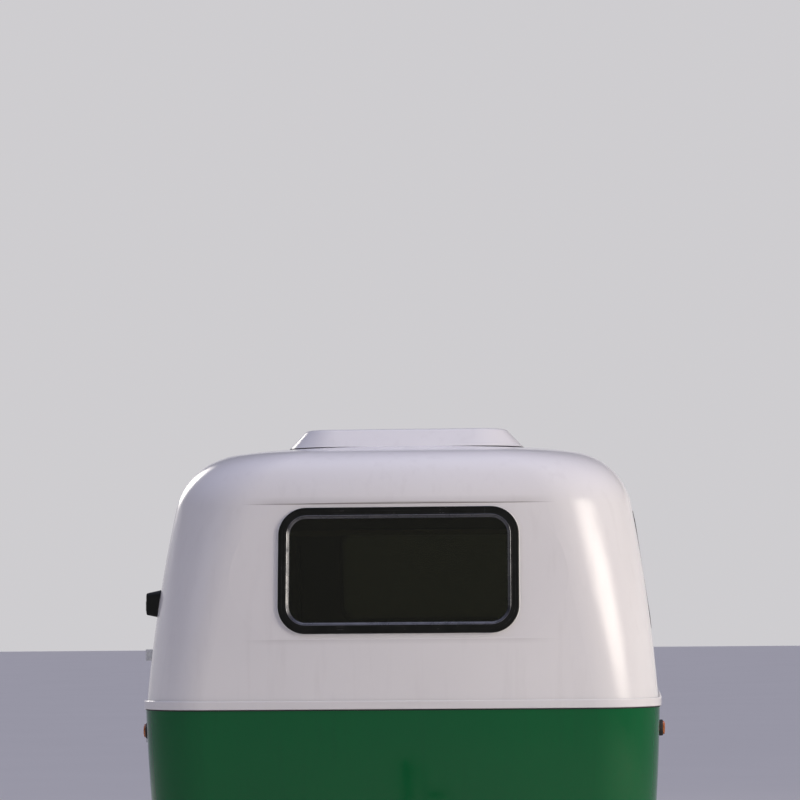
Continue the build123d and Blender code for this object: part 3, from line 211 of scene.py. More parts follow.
class Shape:
    """Points and faces gathered for one piece."""

    def __init__(self) -> None:
        """Starts with nothing."""
        self.points: list[Vector] = []
        self.faces: list[list[int]] = []

    def skin(self, rings: Sequence[Sequence[Vector]], closed: bool = False) -> Shape:
        """Skins rings of equal count, and caps the two ends unless the last ring joins the first.

        Args:
            rings: Rings of points, in order.
            closed: Whether the last ring joins the first.

        Returns:
            The shape itself.
        """
        start, count = len(self.points), len(rings[0])
        for ring in rings:
            self.points.extend(ring)
        following = list(range(1, len(rings))) + ([0] if closed else [])
        for this, after in zip(range(len(rings)), following):
            for corner in range(count):
                beside = (corner + 1) % count
                here, there = start + this * count, start + after * count
                self.faces.append([here + corner, here + beside, there + beside, there + corner])
        if not closed:
            last = start + (len(rings) - 1) * count
            self.faces.append([start + corner for corner in range(count)])
            self.faces.append([last + corner for corner in reversed(range(count))])
        return self

    def turn(self, profile: Sequence[Flat], origin: Vector, axis: Vector, sides: int) -> Shape:
        """Adds a turned form.

        Args:
            profile: Pairs of radius and height, from one end on the axis to the other.
            origin: Where height 0 is.
            axis: The way that height goes.
            sides: Faces round the form.

        Returns:
            The shape itself.
        """
        return self.skin(turned(profile, origin, axis, sides))

    def hoop(self, section: Sequence[Flat], origin: Vector, axis: Vector, sides: int = 48) -> Shape:
        """Adds a ring whose closed section holds pairs of radius and height."""
        return self.skin(turned(section, origin, axis, sides), closed=True)

    def plate(
        self,
        station: Station,
        half_width: float,
        half_height: float,
        corner: float,
        layers: Sequence[Flat],
    ) -> Shape:
        """Adds a plate with round corners and a shaped edge.

        Args:
            station: The plane that it stands on.
            half_width: Half its width.
            half_height: Half its height.
            corner: Radius of its corners.
            layers: Pairs of distance in from its outline and height, from its back to its face.

        Returns:
            The shape itself.
        """
        rings = []
        for inward, height in layers:
            left = max(corner - inward, SMALLEST_CORNER)
            outline = rounded(half_width - inward, half_height - inward, left, 6)
            rings.append([station.at(a, u, height) for a, u in outline])
        return self.skin(rings)

    def rod(self, start: Vector, end: Vector, radius: float, ease: float, sides: int = 16) -> Shape:
        """Adds a round rod.

        Args:
            start: Middle of one end.
            end: Middle of the other.
            radius: Its radius.
            ease: How much its ends' edges are cut back.
            sides: Faces round it.

        Returns:
            The shape itself.
        """
        length = (end - start).length
        profile = [(0.0, 0.0), (radius - ease, 0.0), (radius, ease), (radius, length - ease)]
        return self.turn([*profile, (radius - ease, length), (0.0, length)], start, end - start, sides)

    def block(self, low: Vector, high: Vector, ease: float) -> Shape:
        """Adds an upright block.

        Args:
            low: Its lowest corner.
            high: Its highest corner.
            ease: How much its edges are cut back.

        Returns:
            The shape itself.
        """
        middle, half = (low + high) / 2, (high - low) / 2
        station = Station(middle, LEFTWARDS, REARWARDS, UPWARDS)
        layers = ((ease, -half.z), (0.0, -half.z + ease), (0.0, half.z - ease), (ease, half.z))
        rings = []
        for narrower, height in layers:
            outline = rounded(half.x - narrower, half.y - narrower, ease, 3)
            rings.append([station.at(a, u, height) for a, u in outline])
        return self.skin(rings)


def face_outwards(mesh: bpy.types.Mesh) -> None:
    """Merges doubled points of a mesh and turns its faces outwards.

    Args:
        mesh: The mesh.
    """
    form = bmesh.new()
    form.from_mesh(mesh)
    bmesh.ops.remove_doubles(form, verts=form.verts, dist=WELD)
    bmesh.ops.recalc_face_normals(form, faces=form.faces)
    form.to_mesh(mesh)
    form.free()


def mesh_of(name: str, shape: Shape) -> bpy.types.Mesh:
    """Turns gathered faces into a mesh, merged and facing outwards.

    Args:
        name: Name of the mesh.
        shape: Its points and faces.

    Returns:
        The mesh.
    """
    mesh = bpy.data.meshes.new(name)
    mesh.from_pydata([tuple(point) for point in shape.points], [], shape.faces)
    face_outwards(mesh)
    return mesh


def smooth(mesh: bpy.types.Mesh, sharp: float) -> None:
    """Shades a mesh smooth, with edges that turn by more than some degrees left crisp."""
    mesh.shade_smooth()
    mesh.set_sharp_from_angle(angle=math.radians(sharp))


def add_object(name: str, data: Optional[bpy.types.ID]) -> bpy.types.Object:
    """Puts an object with some data in the scene.

    Args:
        name: Name of the object.
        data: Its mesh, light or camera.

    Returns:
        The object.
    """
    made = bpy.data.objects.new(name, data)
    bpy.context.scene.collection.objects.link(made)
    return made


def settle(name: str, mesh: bpy.types.Mesh, body: Body) -> bpy.types.Object:
    """Puts a finished mesh in the scene, on its body.

    Args:
        name: Name of the piece.
        mesh: Its mesh, in place.
        body: The body that it moves with.

    Returns:
        The new object.
    """
    made = add_object(name, mesh)
    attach(made, body.value)
    log.info("%s on %s, %d faces", name, body.value, len(mesh.polygons))
    return made


def piece(
    name: str, shape: Shape, finish: bpy.types.Material, body: Body, sharp: float = 34.0
) -> bpy.types.Object:
    """Makes a piece from gathered faces, closed and facing outwards.

    Args:
        name: Name of the piece.
        shape: Its points and faces.
        finish: Its material.
        body: The body that it moves with.
        sharp: Edges that turn by more than this many degrees stay crisp.

    Returns:
        The new object.
    """
    mesh = mesh_of(name, shape)
    mesh.materials.append(finish)
    smooth(mesh, sharp)
    return settle(name, mesh, body)


class Skin:
    """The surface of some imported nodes, to seat pieces on."""

    def __init__(self, *nodes: str) -> None:
        """Gathers the nodes' triangles.

        Args:
            nodes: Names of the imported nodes.
        """
        points: list[Vector] = []
        faces: list[tuple[int, ...]] = []
        for node in nodes:
            mesh = frame["nodes"][node].data
            start = len(points)
            points.extend(vertex.co.copy() for vertex in mesh.vertices)
            faces.extend(tuple(start + corner for corner in face.vertices) for face in mesh.polygons)
        self.tree = BVHTree.FromPolygons(points, faces)

    def drop(self, start: Vector, way: Vector) -> Optional[Hit]:
        """First point and its normal from a start along a way, or nothing."""
        point, normal, _, _ = self.tree.ray_cast(start, way.normalized())
        return None if point is None else (point, normal)


class GeometrySheet:
    """A Geometry Nodes tree with named inputs, run on a mesh and turned into a plain mesh."""

    def __init__(self, name: str) -> None:
        """Starts a tree with its geometry input and output.

        Args:
            name: Name of the tree.
        """
        self.tree = bpy.data.node_groups.new(name, "GeometryNodeTree")
        self.tree.is_modifier = True
        self.tree.interface.new_socket("Geometry", in_out="INPUT", socket_type="NodeSocketGeometry")
        self.tree.interface.new_socket("Geometry", in_out="OUTPUT", socket_type="NodeSocketGeometry")
        self.inlet = self.tree.nodes.new("NodeGroupInput")
        self.outlet = self.tree.nodes.new("NodeGroupOutput")
        self.identifiers: dict[str, str] = {}

    def input(self, name: str, kind: str = "NodeSocketFloat") -> bpy.types.NodeSocket:
        """Adds a named input.

        Args:
            name: Name of the input.
            kind: Type of its socket.

        Returns:
            The socket that it feeds.
        """
        socket = self.tree.interface.new_socket(name, in_out="INPUT", socket_type=kind)
        self.identifiers[name] = socket.identifier
        return self.inlet.outputs[name]

    def node(self, kind: str, settings: Optional[dict] = None, **inputs: object) -> bpy.types.Node:
        """Adds a node.

        Args:
            kind: The node's type.
            settings: Its properties.
            inputs: Its inputs, with spaces in their names as underscores, as sockets or values.

        Returns:
            The node.
        """
        made = self.tree.nodes.new(kind)
        for name, value in (settings or {}).items():
            setattr(made, name, value)
        for name, value in inputs.items():
            self.give(next(s for s in made.inputs if s.name == name.replace("_", " ") and s.enabled), value)
        return made

    def give(self, socket: bpy.types.NodeSocket, value: object) -> None:
        """Links a socket to another one, or sets its value.

        Args:
            socket: The input.
            value: A socket or a value.
        """
        if isinstance(value, bpy.types.NodeSocket):
            self.tree.links.new(value, socket)
        else:
            socket.default_value = value

    def maths(self, kind: str, operation: str, first: object, second: object) -> bpy.types.NodeSocket:
        """Adds a Math or Vector Math node.

        Args:
            kind: The node's type.
            operation: What it does.
            first: Its first input, a socket or a value.
            second: Its second input, a socket or a value.

        Returns:
            The result's socket.
        """
        made = self.node(kind, {"operation": operation})
        self.give(made.inputs[0], first)
        self.give(made.inputs[1], second)
        return made.outputs[0]

    def close(self, geometry: bpy.types.NodeSocket) -> None:
        """Ends the tree: instances made real and given the finish.

        Args:
            geometry: The socket with what the tree made.
        """
        real = self.node("GeometryNodeRealizeInstances", Geometry=geometry)
        finish = self.input("Finish", "NodeSocketMaterial")
        last = self.node("GeometryNodeSetMaterial", Geometry=real.outputs["Geometry"], Material=finish)
        self.tree.links.new(last.outputs["Geometry"], self.outlet.inputs["Geometry"])

    def run(self, base: bpy.types.Mesh, sharp: float = 34.0, **values: object) -> bpy.types.Mesh:
        """Runs the tree on a mesh.

        Args:
            base: The points or lines that the tree reads.
            sharp: Edges that turn by more than this many degrees stay crisp.
            values: The tree's inputs, with spaces in their names as underscores.

        Returns:
            A plain mesh.
        """
        holder = add_object("holder", base)
        modifier = holder.modifiers.new("tree", "NODES")
        modifier.node_group = self.tree
        for name, value in values.items():
            modifier[self.identifiers[name.replace("_", " ")]] = value
        graph = bpy.context.evaluated_depsgraph_get()
        mesh = bpy.data.meshes.new_from_object(holder.evaluated_get(graph), depsgraph=graph)
        holder.modifiers.remove(modifier)
        bpy.data.objects.remove(holder)
        face_outwards(mesh)
        smooth(mesh, sharp)
        return mesh


def lines(paths: Sequence[Sequence[Vector]], closed: bool = False) -> bpy.types.Mesh:
    """A mesh of plain edges along paths, for a tree to follow.

    Args:
        paths: Runs of points.
        closed: Whether the end of each run joins its start.

    Returns:
        The mesh.
    """
    points: list[tuple] = []
    edges: list[tuple[int, int]] = []
    for path in paths:
        start = len(points)
        points.extend(tuple(point) for point in path)
        edges.extend((start + k, start + k + 1) for k in range(len(path) - 1))
        if closed:
            edges.append((start + len(path) - 1, start))
    mesh = bpy.data.meshes.new("lines")
    mesh.from_pydata(points, edges, [])
    return mesh


def spots(places: Sequence[Hit]) -> bpy.types.Mesh:
    """A mesh of loose points, each with the way that it faces, for a tree to stand things on.

    Args:
        places: Pairs of point and normal.

    Returns:
        The mesh.
    """
    mesh = bpy.data.meshes.new("spots")
    mesh.from_pydata([tuple(point) for point, _ in places], [], [])
    facing = mesh.attributes.new("facing", "FLOAT_VECTOR", "POINT")
    for item, (_, normal) in zip(facing.data, places):
        item.vector = normal
    return mesh


class Trees:
    """The Geometry Nodes trees of the trailer: beads along lines, fixings on spots and rings of blocks."""

    def __init__(self) -> None:
        """Builds the trees."""
        self.bead = self.bead_tree()
        self.fixings = self.fixing_tree()
        self.ring = self.ring_tree()

    def bead_tree(self) -> GeometrySheet:
        """A round bead along every line of a mesh.

        Returns:
            The tree.
        """
        sheet = GeometrySheet("bead_along_lines")
        radius, sides = sheet.input("Radius"), sheet.input("Sides", "NodeSocketInt")
        curve = sheet.node("GeometryNodeMeshToCurve", Mesh=sheet.inlet.outputs["Geometry"])
        profile = sheet.node("GeometryNodeCurvePrimitiveCircle", Resolution=sides, Radius=radius)
        tube = sheet.node(
            "GeometryNodeCurveToMesh",
            Curve=curve.outputs["Curve"],
            Profile_Curve=profile.outputs["Curve"],
            Fill_Caps=True,
        )
        sheet.close(tube.outputs["Mesh"])
        return sheet

    def fixing_tree(self) -> GeometrySheet:
        """A screw or bolt head on every point, standing along the way that the point faces.

        Returns:
            The tree.
        """
        sheet = GeometrySheet("fixings_on_spots")
        head, size = sheet.input("Head", "NodeSocketObject"), sheet.input("Size")
        facing = sheet.node("GeometryNodeInputNamedAttribute", {"data_type": "FLOAT_VECTOR"}, Name="facing")
        way = next(socket for socket in facing.outputs if socket.enabled)
        upright = sheet.node("FunctionNodeAlignRotationToVector", {"axis": "Z"}, Vector=way)
        info = sheet.node("GeometryNodeObjectInfo", Object=head)
        stood = sheet.node(
            "GeometryNodeInstanceOnPoints",
            Points=sheet.inlet.outputs["Geometry"],
            Instance=info.outputs["Geometry"],
            Rotation=upright.outputs["Rotation"],
            Scale=size,
        )
        sheet.close(stood.outputs["Instances"])
        return sheet

    def ring_tree(self) -> GeometrySheet:
        """Copies of an object spaced round the X axis at a radius, through a middle.

        Returns:
            The tree.
        """
        sheet = GeometrySheet("ring_about_x")
        thing, count = sheet.input("Thing", "NodeSocketObject"), sheet.input("Count", "NodeSocketInt")
        radius, across = sheet.input("Radius"), sheet.input("Across")
        shift, middle = sheet.input("Shift"), sheet.input("Middle", "NodeSocketVector")
        points = sheet.node("GeometryNodePoints", Count=count).outputs[0]
        index = sheet.node("GeometryNodeInputIndex").outputs["Index"]
        moved = sheet.maths("ShaderNodeMath", "ADD", index, shift)
        share = sheet.maths("ShaderNodeMath", "DIVIDE", moved, count)
        angle = sheet.maths("ShaderNodeMath", "MULTIPLY", share, 2 * math.pi)
        turn = sheet.node("ShaderNodeCombineXYZ", X=angle).outputs["Vector"]
        rotation = sheet.node("FunctionNodeEulerToRotation", Euler=turn).outputs["Rotation"]
        reach = sheet.node("ShaderNodeCombineXYZ", X=across, Z=radius).outputs["Vector"]
        placed = sheet.node("FunctionNodeRotateVector", Vector=reach, Rotation=rotation).outputs["Vector"]
        there = sheet.maths("ShaderNodeVectorMath", "ADD", placed, middle)
        set_there = sheet.node("GeometryNodeSetPosition", Geometry=points, Position=there)
        info = sheet.node("GeometryNodeObjectInfo", Object=thing)
        ring = sheet.node(
            "GeometryNodeInstanceOnPoints",
            Points=set_there.outputs[0],
            Instance=info.outputs["Geometry"],
            Rotation=rotation,
        )
        sheet.close(ring.outputs["Instances"])
        return sheet


class ShaderSheet:
    """One material's node tree, with short ways to add and join its nodes."""

    def __init__(self, name: str) -> None:
        """Starts a material with its Principled shader and the object's own coordinates.

        Args:
            name: Name of the finish.
        """
        self.material = bpy.data.materials.new(name)
        self.material.use_nodes = True
        self.tree = self.material.node_tree
        self.shader = self.tree.nodes["Principled BSDF"]
        self.places = self.tree.nodes.new("ShaderNodeTexCoord")

    def node(self, kind: str, **settings: object) -> bpy.types.Node:
        """Adds a node and sets its properties.

        Args:
            kind: The node's type.
            settings: Its properties.

        Returns:
            The node.
        """
        made = self.tree.nodes.new(kind)
        for name, value in settings.items():
            setattr(made, name, value)
        return made

    def join(self, out: bpy.types.NodeSocket, into: bpy.types.NodeSocket) -> None:
        """Links two sockets."""
        self.tree.links.new(out, into)

    def stretched(self, stretch: Point) -> bpy.types.NodeSocket:
        """Object coordinates scaled by an amount along each axis.

        Args:
            stretch: Scale along X, Y and Z.

        Returns:
            The scaled vector socket.
        """
        mapping = self.node("ShaderNodeMapping")
        mapping.inputs["Scale"].default_value = stretch
        self.join(self.places.outputs["Object"], mapping.inputs["Vector"])
        return mapping.outputs["Vector"]

    def noise(
        self, scale: float, detail: float = 3.0, stretch: Point = (1.0, 1.0, 1.0)
    ) -> bpy.types.NodeSocket:
        """Noise on object coordinates, in spots per metre.

        Args:
            scale: Spots per metre.
            detail: Octaves of the noise.
            stretch: Scale along each axis before the noise.

        Returns:
            The noise value socket.
        """
        texture = self.node("ShaderNodeTexNoise")
        texture.inputs["Scale"].default_value = scale
        texture.inputs["Detail"].default_value = detail
        self.join(self.stretched(stretch), texture.inputs["Vector"])
        return texture.outputs["Fac"]

    def axes(self) -> bpy.types.NodeOutputs:
        """The object's own coordinates one by one, as sockets named X, Y and Z.

        Returns:
            The sockets.
        """
        split = self.node("ShaderNodeSeparateXYZ")
        self.join(self.places.outputs["Object"], split.inputs[0])
        return split.outputs

    def range(
        self, value: bpy.types.NodeSocket, low: float, high: float, to_low: float, to_high: float
    ) -> bpy.types.NodeSocket:
        """Maps a value from one range to another, clamped.

        Args:
            value: Socket with the value.
            low: Low end of the value's range.
            high: High end of the value's range.
            to_low: What the low end becomes.
            to_high: What the high end becomes.

        Returns:
            The mapped value socket.
        """
        mapped = self.node("ShaderNodeMapRange")
        self.join(value, mapped.inputs["Value"])
        ends = (("From Min", low), ("From Max", high), ("To Min", to_low), ("To Max", to_high))
        for name, end in ends:
            mapped.inputs[name].default_value = end
        return mapped.outputs["Result"]

    def maths(self, operation: str, first: object, second: object = 0.0) -> bpy.types.NodeSocket:
        """A Math node on two sockets or numbers.

        Args:
            operation: What it does.
            first: Socket or number.
            second: Socket or number.

        Returns:
            The result's socket.
        """
        made = self.node("ShaderNodeMath", operation=operation)
        for socket, value in zip(made.inputs, (first, second)):
            if isinstance(value, (int, float)):
                socket.default_value = value
            else:
                self.join(value, socket)
        return made.outputs["Value"]

    def blend(self, share: object, first: object, second: object) -> bpy.types.NodeSocket:
        """Mixes two colours, each a socket or a colour.

        Args:
            share: Socket or number, 0 for the first and 1 for the second.
            first: First colour.
            second: Second colour.

        Returns:
            The mixed colour socket.
        """
        mixed = self.node("ShaderNodeMix", data_type="RGBA")
        for name, value in (("Factor", share), ("A", first), ("B", second)):
            socket = next(s for s in mixed.inputs if s.name == name and s.enabled)
            if isinstance(value, bpy.types.NodeSocket):
                self.join(value, socket)
            elif isinstance(value, (int, float)):
                socket.default_value = value
            else:
                socket.default_value = (*value, 1.0)
        return next(s for s in mixed.outputs if s.enabled)

    def bumped(
        self, height: bpy.types.NodeSocket, depth: float, under: Optional[bpy.types.NodeSocket] = None
    ) -> bpy.types.NodeSocket:
        """A bump of a real depth in metres, laid over another bump where one is given.

        Args:
            height: Socket with the height, from 0 to 1.
            depth: What a height of 1 stands for, in metres.
            under: The normal that this bump is laid over.

        Returns:
            The normal socket.
        """
        bump = self.node("ShaderNodeBump")
        bump.inputs["Strength"].default_value = 1.0
        bump.inputs["Distance"].default_value = depth
        self.join(height, bump.inputs["Height"])
        if under is not None:
            self.join(under, bump.inputs["Normal"])
        return bump.outputs["Normal"]

    def facing_out(self) -> bpy.types.NodeSocket:
        """1 on the outside of a hollow moulding and in its wheel arches, 0 on its inside.

        Returns:
            The value socket.
        """
        from_cabin = self.node("ShaderNodeVectorMath", operation="SUBTRACT")
        self.join(self.places.outputs["Object"], from_cabin.inputs[0])
        from_cabin.inputs[1].default_value = CABIN_MIDDLE
        along = self.node("ShaderNodeVectorMath", operation="DOT_PRODUCT")
        self.join(from_cabin.outputs["Vector"], along.inputs[0])
        self.join(self.places.outputs["Normal"], along.inputs[1])
        outside = self.maths("GREATER_THAN", along.outputs["Value"], 0.0)
        place = self.axes()
        squares = []
        for axis, middle in zip("YZ", AXLE):
            away = self.maths("SUBTRACT", place[axis], middle)
            squares.append(self.maths("MULTIPLY", away, away))
        near = self.maths("LESS_THAN", self.maths("ADD", *squares), ARCH_REACH**2)
        beside = self.maths("GREATER_THAN", self.maths("ABSOLUTE", place["X"]), ARCH_FROM_SIDE)
        return self.maths("MAXIMUM", outside, self.maths("MULTIPLY", near, beside))

    def set(self, **values: object) -> None:
        """Sets constant values on the shader's own sockets, with spaces in their names as underscores.

        Args:
            values: Socket names and their values.
        """
        for name, value in values.items():
            socket = self.shader.inputs[name.replace("_", " ")]
            is_colour = isinstance(value, tuple) and len(value) == 3 and socket.type == "RGBA"
            socket.default_value = (*value, 1.0) if is_colour else value

    def feed(self, name: str, value: bpy.types.NodeSocket) -> None:
        """Links a socket to one of the shader's inputs."""
        self.join(value, self.shader.inputs[name])


@dataclass(frozen=True)
class Gelcoat:
    """Polished coloured gelcoat outside, speckled liner inside, with faint runs and painted shade along the
    window pad's creases.

    Attributes:
        polish: Roughness where it is best kept, and wear is what the runs add to it.
        creases: For each crease of the window's pad, its height, how far its painted shade reaches, and how
            much of its own line and of the surface beside it is darkened.
        crease_reach: X where the painted shade starts to end, and where it has ended.
        crease_front: Y that the painted shade stays in front of.
        crease_edge: The painted shade's start, from the crease; its line's middle and half width follow.
    """

    name: str
    colour: Colour
    shade: Colour
    inside: Colour = (0.50, 0.49, 0.47)
    speck: Colour = (0.18, 0.18, 0.18)
    polish: float = 0.10
    wear: float = 0.12
    gloss: float = 0.5
    cloud_scale: float = 1.3
    run_scale: float = 26.0
    run_stretch: Point = (1.0, 1.0, 0.045)
    speck_scale: float = 420.0
    ripple_scale: float = 9.0
    ripple_depth: float = 0.00022
    grain_scale: float = 300.0
    grain_depth: float = 0.000006
    # The crease fields paint shade along the window pad's creases, as a darker colour.
    creases: Sequence[tuple[float, float, float, float]] = ()
    crease_reach: Flat = (0.47, 0.60)
    crease_front: float = -0.86
    crease_shade_colour: Colour = (0.20, 0.165, 0.15)
    crease_edge: float = -0.0005
    crease_line: float = 0.0012
    crease_half_line: float = 0.0016

    def make(self) -> bpy.types.Material:
        """Builds the finish.

        Returns:
            The material.
        """
        sheet = ShaderSheet(self.name)
        clouds = sheet.noise(self.cloud_scale, 3.0)
        runs = sheet.noise(self.run_scale, 4.0, self.run_stretch)
        flecks = sheet.noise(self.speck_scale, 2.0)
        tone = sheet.blend(sheet.range(clouds, 0.3, 0.7, 0.0, 0.35), self.colour, self.shade)
        tone = sheet.blend(sheet.range(runs, 0.55, 0.8, 0.0, 0.4), tone, self.shade)
        # Painted shade: darker lines and bands along the creases above and below the window's pad.
        for crease in self.creases:
            tone = sheet.blend(self.crease_shade(sheet, *crease), tone, self.crease_shade_colour)
        specks = sheet.blend(sheet.range(flecks, 0.58, 0.66, 0.0, 0.55), self.inside, self.speck)
        outside = sheet.facing_out()
        sheet.feed("Base Color", sheet.blend(outside, specks, tone))
        worn = sheet.range(runs, 0.35, 0.8, self.polish, self.polish + self.wear)
        sheet.feed("Roughness", sheet.maths("MAXIMUM", worn, sheet.range(outside, 0.0, 1.0, 0.5, 0.0)))
        ripple = sheet.bumped(sheet.noise(self.ripple_scale, 2.0), self.ripple_depth)
        sheet.feed("Normal", sheet.bumped(sheet.noise(self.grain_scale, 1.0), self.grain_depth, ripple))
        sheet.set(IOR=1.5, Specular_IOR_Level=self.gloss)
        return sheet.material

    def crease_shade(
        self, sheet: ShaderSheet, start: float, fade: float, line: float, share: float
    ) -> bpy.types.NodeSocket:
        """Painted shade along one crease of the window's pad, darkest in the crease itself.

        Args:
            sheet: The material.
            start: Height of the crease.
            fade: How far the painted shade reaches from it, less than 0 for downwards.
            line: How much of the crease's own line is darkened.
            share: How much of the surface beside it is darkened.

        Returns:
            The painted shade's share, from 0 to 1.
        """
        place = sheet.axes()
        way = math.copysign(1.0, fade)
        away = sheet.maths("MULTIPLY", sheet.maths("SUBTRACT", place["Z"], start), way)
        beside = sheet.range(away, 0.0, abs(fade), share, 0.0)
        from_line = sheet.maths("ABSOLUTE", sheet.maths("SUBTRACT", away, self.crease_line))
        inside = sheet.maths("LESS_THAN", from_line, self.crease_half_line)
        cover = sheet.maths("MAXIMUM", beside, sheet.maths("MULTIPLY", inside, line))
        cover = sheet.maths("MULTIPLY", cover, sheet.maths("GREATER_THAN", away, self.crease_edge))
        narrow = sheet.range(sheet.maths("ABSOLUTE", place["X"]), *self.crease_reach, 1.0, 0.0)
        front = sheet.maths("LESS_THAN", place["Y"], self.crease_front)
        return sheet.maths("MULTIPLY", cover, sheet.maths("MULTIPLY", narrow, front))


@dataclass(frozen=True)
class SatinPlastic:
    """Moulded plastic or powder coat with a fine grain and rubbed patches."""

    name: str
    colour: Colour
    rubbed: Colour
    roughness: float = 0.38
    grain_scale: float = 900.0
    grain_depth: float = 0.00002
    patch_scale: float = 14.0
    wear: float = 0.12
    gloss: float = 0.5

    def make(self) -> bpy.types.Material:
        """Builds the finish.

        Returns:
            The material.
        """
        sheet = ShaderSheet(self.name)
        patches = sheet.noise(self.patch_scale, 5.0)
        share = sheet.range(patches, 0.4, 0.75, 0.0, 0.6)
        sheet.feed("Base Color", sheet.blend(share, self.colour, self.rubbed))
        sheet.feed("Roughness", sheet.range(patches, 0.3, 0.7, self.roughness, self.roughness + self.wear))
        sheet.feed("Normal", sheet.bumped(sheet.noise(self.grain_scale, 2.0), self.grain_depth))
        sheet.set(IOR=1.47, Specular_IOR_Level=self.gloss)
        return sheet.material


@dataclass(frozen=True)
class Metal:
    """Bare, plated or polished metal with fine scratches and duller patches."""

    name: str
    colour: Colour
    dull: Colour
    roughness: float = 0.25
    spangle: float = 0.0
    patch_scale: float = 30.0
    wear: float = 0.2
    scratch_scale: float = 700.0
    scratch_depth: float = 0.000012

    def make(self) -> bpy.types.Material:
        """Builds the finish.

        Returns:
            The material.
        """
        sheet = ShaderSheet(self.name)
        patches = sheet.noise(self.patch_scale, 5.0)
        tone = sheet.blend(sheet.range(patches, 0.35, 0.75, 0.0, 0.7), self.colour, self.dull)
        if self.spangle:
            cells = sheet.node("ShaderNodeTexVoronoi")
            cells.inputs["Scale"].default_value = self.spangle
            sheet.join(sheet.places.outputs["Object"], cells.inputs["Vector"])
            tone = sheet.blend(sheet.range(cells.outputs["Color"], 0.0, 1.0, 0.0, 0.5), tone, self.dull)
        sheet.feed("Base Color", tone)
        sheet.feed("Roughness", sheet.range(patches, 0.3, 0.75, self.roughness, self.roughness + self.wear))
        sheet.feed("Normal", sheet.bumped(sheet.noise(self.scratch_scale, 3.0), self.scratch_depth))
        sheet.set(Metallic=1.0)
        return sheet.material


@dataclass(frozen=True)
class Rubber:
    """Black rubber with grey road dust where it is rough."""

    name: str
    colour: Colour = (0.018, 0.018, 0.019)
    dust: Colour = (0.09, 0.082, 0.072)
    dusty: float = 0.5
    patch_scale: float = 22.0
    grain_scale: float = 1100.0
    grain_depth: float = 0.00004

    def make(self) -> bpy.types.Material:
        """Builds the finish.

        Returns:
            The material.
        """
        sheet = ShaderSheet(self.name)
        patches = sheet.noise(self.patch_scale, 6.0)
        dusting = sheet.range(patches, 0.42, 0.72, 0.0, self.dusty)
        sheet.feed("Base Color", sheet.blend(dusting, self.colour, self.dust))
        sheet.feed("Roughness", sheet.range(patches, 0.3, 0.7, 0.5, 0.8))
        sheet.feed("Normal", sheet.bumped(sheet.noise(self.grain_scale, 2.0), self.grain_depth))
        sheet.set(IOR=1.45)
        return sheet.material


@dataclass(frozen=True)
class TintedPane:
    """Dark acrylic pane, seen through faintly."""

    name: str
    colour: Colour = (0.090, 0.094, 0.060)
    clear: float = 0.90
    haze_scale: float = 40.0

    def make(self) -> bpy.types.Material:
        """Builds the finish.

        Returns:
            The material.
        """
        sheet = ShaderSheet(self.name)
        haze = sheet.noise(self.haze_scale, 5.0)
        sheet.feed("Roughness", sheet.range(haze, 0.4, 0.8, 0.0, 0.05))
        sheet.set(Base_Color=self.colour, Transmission_Weight=self.clear, IOR=1.42)
        return sheet.material


@dataclass(frozen=True)
class LampLens:
    """Coloured clear plastic over a ribbed reflector."""

    name: str
    colour: Colour
    deeper: float = 0.45
    cloud_scale: float = 60.0
    rib_scale: float = 500.0
    rib_depth: float = 0.00003

    def make(self) -> bpy.types.Material:
        """Builds the finish.

        Returns:
            The material.
        """
        sheet = ShaderSheet(self.name)
        deep = tuple(channel * self.deeper for channel in self.colour)
        clouds = sheet.range(sheet.noise(self.cloud_scale), 0.3, 0.7, 0.0, 0.5)
        sheet.feed("Base Color", sheet.blend(clouds, self.colour, deep))
        sheet.feed("Normal", sheet.bumped(sheet.noise(self.rib_scale, 2.0), self.rib_depth))
        sheet.set(Roughness=0.12, Transmission_Weight=0.35, Coat_Weight=1.0, Coat_Roughness=0.03)
        return sheet.material


@dataclass(frozen=True)
class StudioFloor:
    """Pale floor that keeps the trailer's shadow."""

    name: str = "studio_floor"
    colour: Colour = (0.76, 0.73, 0.67)
    lighter: float = 1.06
    cloud_scale: float = 0.7

    def make(self) -> bpy.types.Material:
        """Builds the finish.

        Returns:
            The material.
        """
        sheet = ShaderSheet(self.name)
        lighter = tuple(min(1.0, channel * self.lighter) for channel in self.colour)
        sheet.feed("Base Color", sheet.blend(sheet.noise(self.cloud_scale, 4.0), self.colour, lighter))
        sheet.set(Roughness=0.85, IOR=1.3)
        return sheet.material


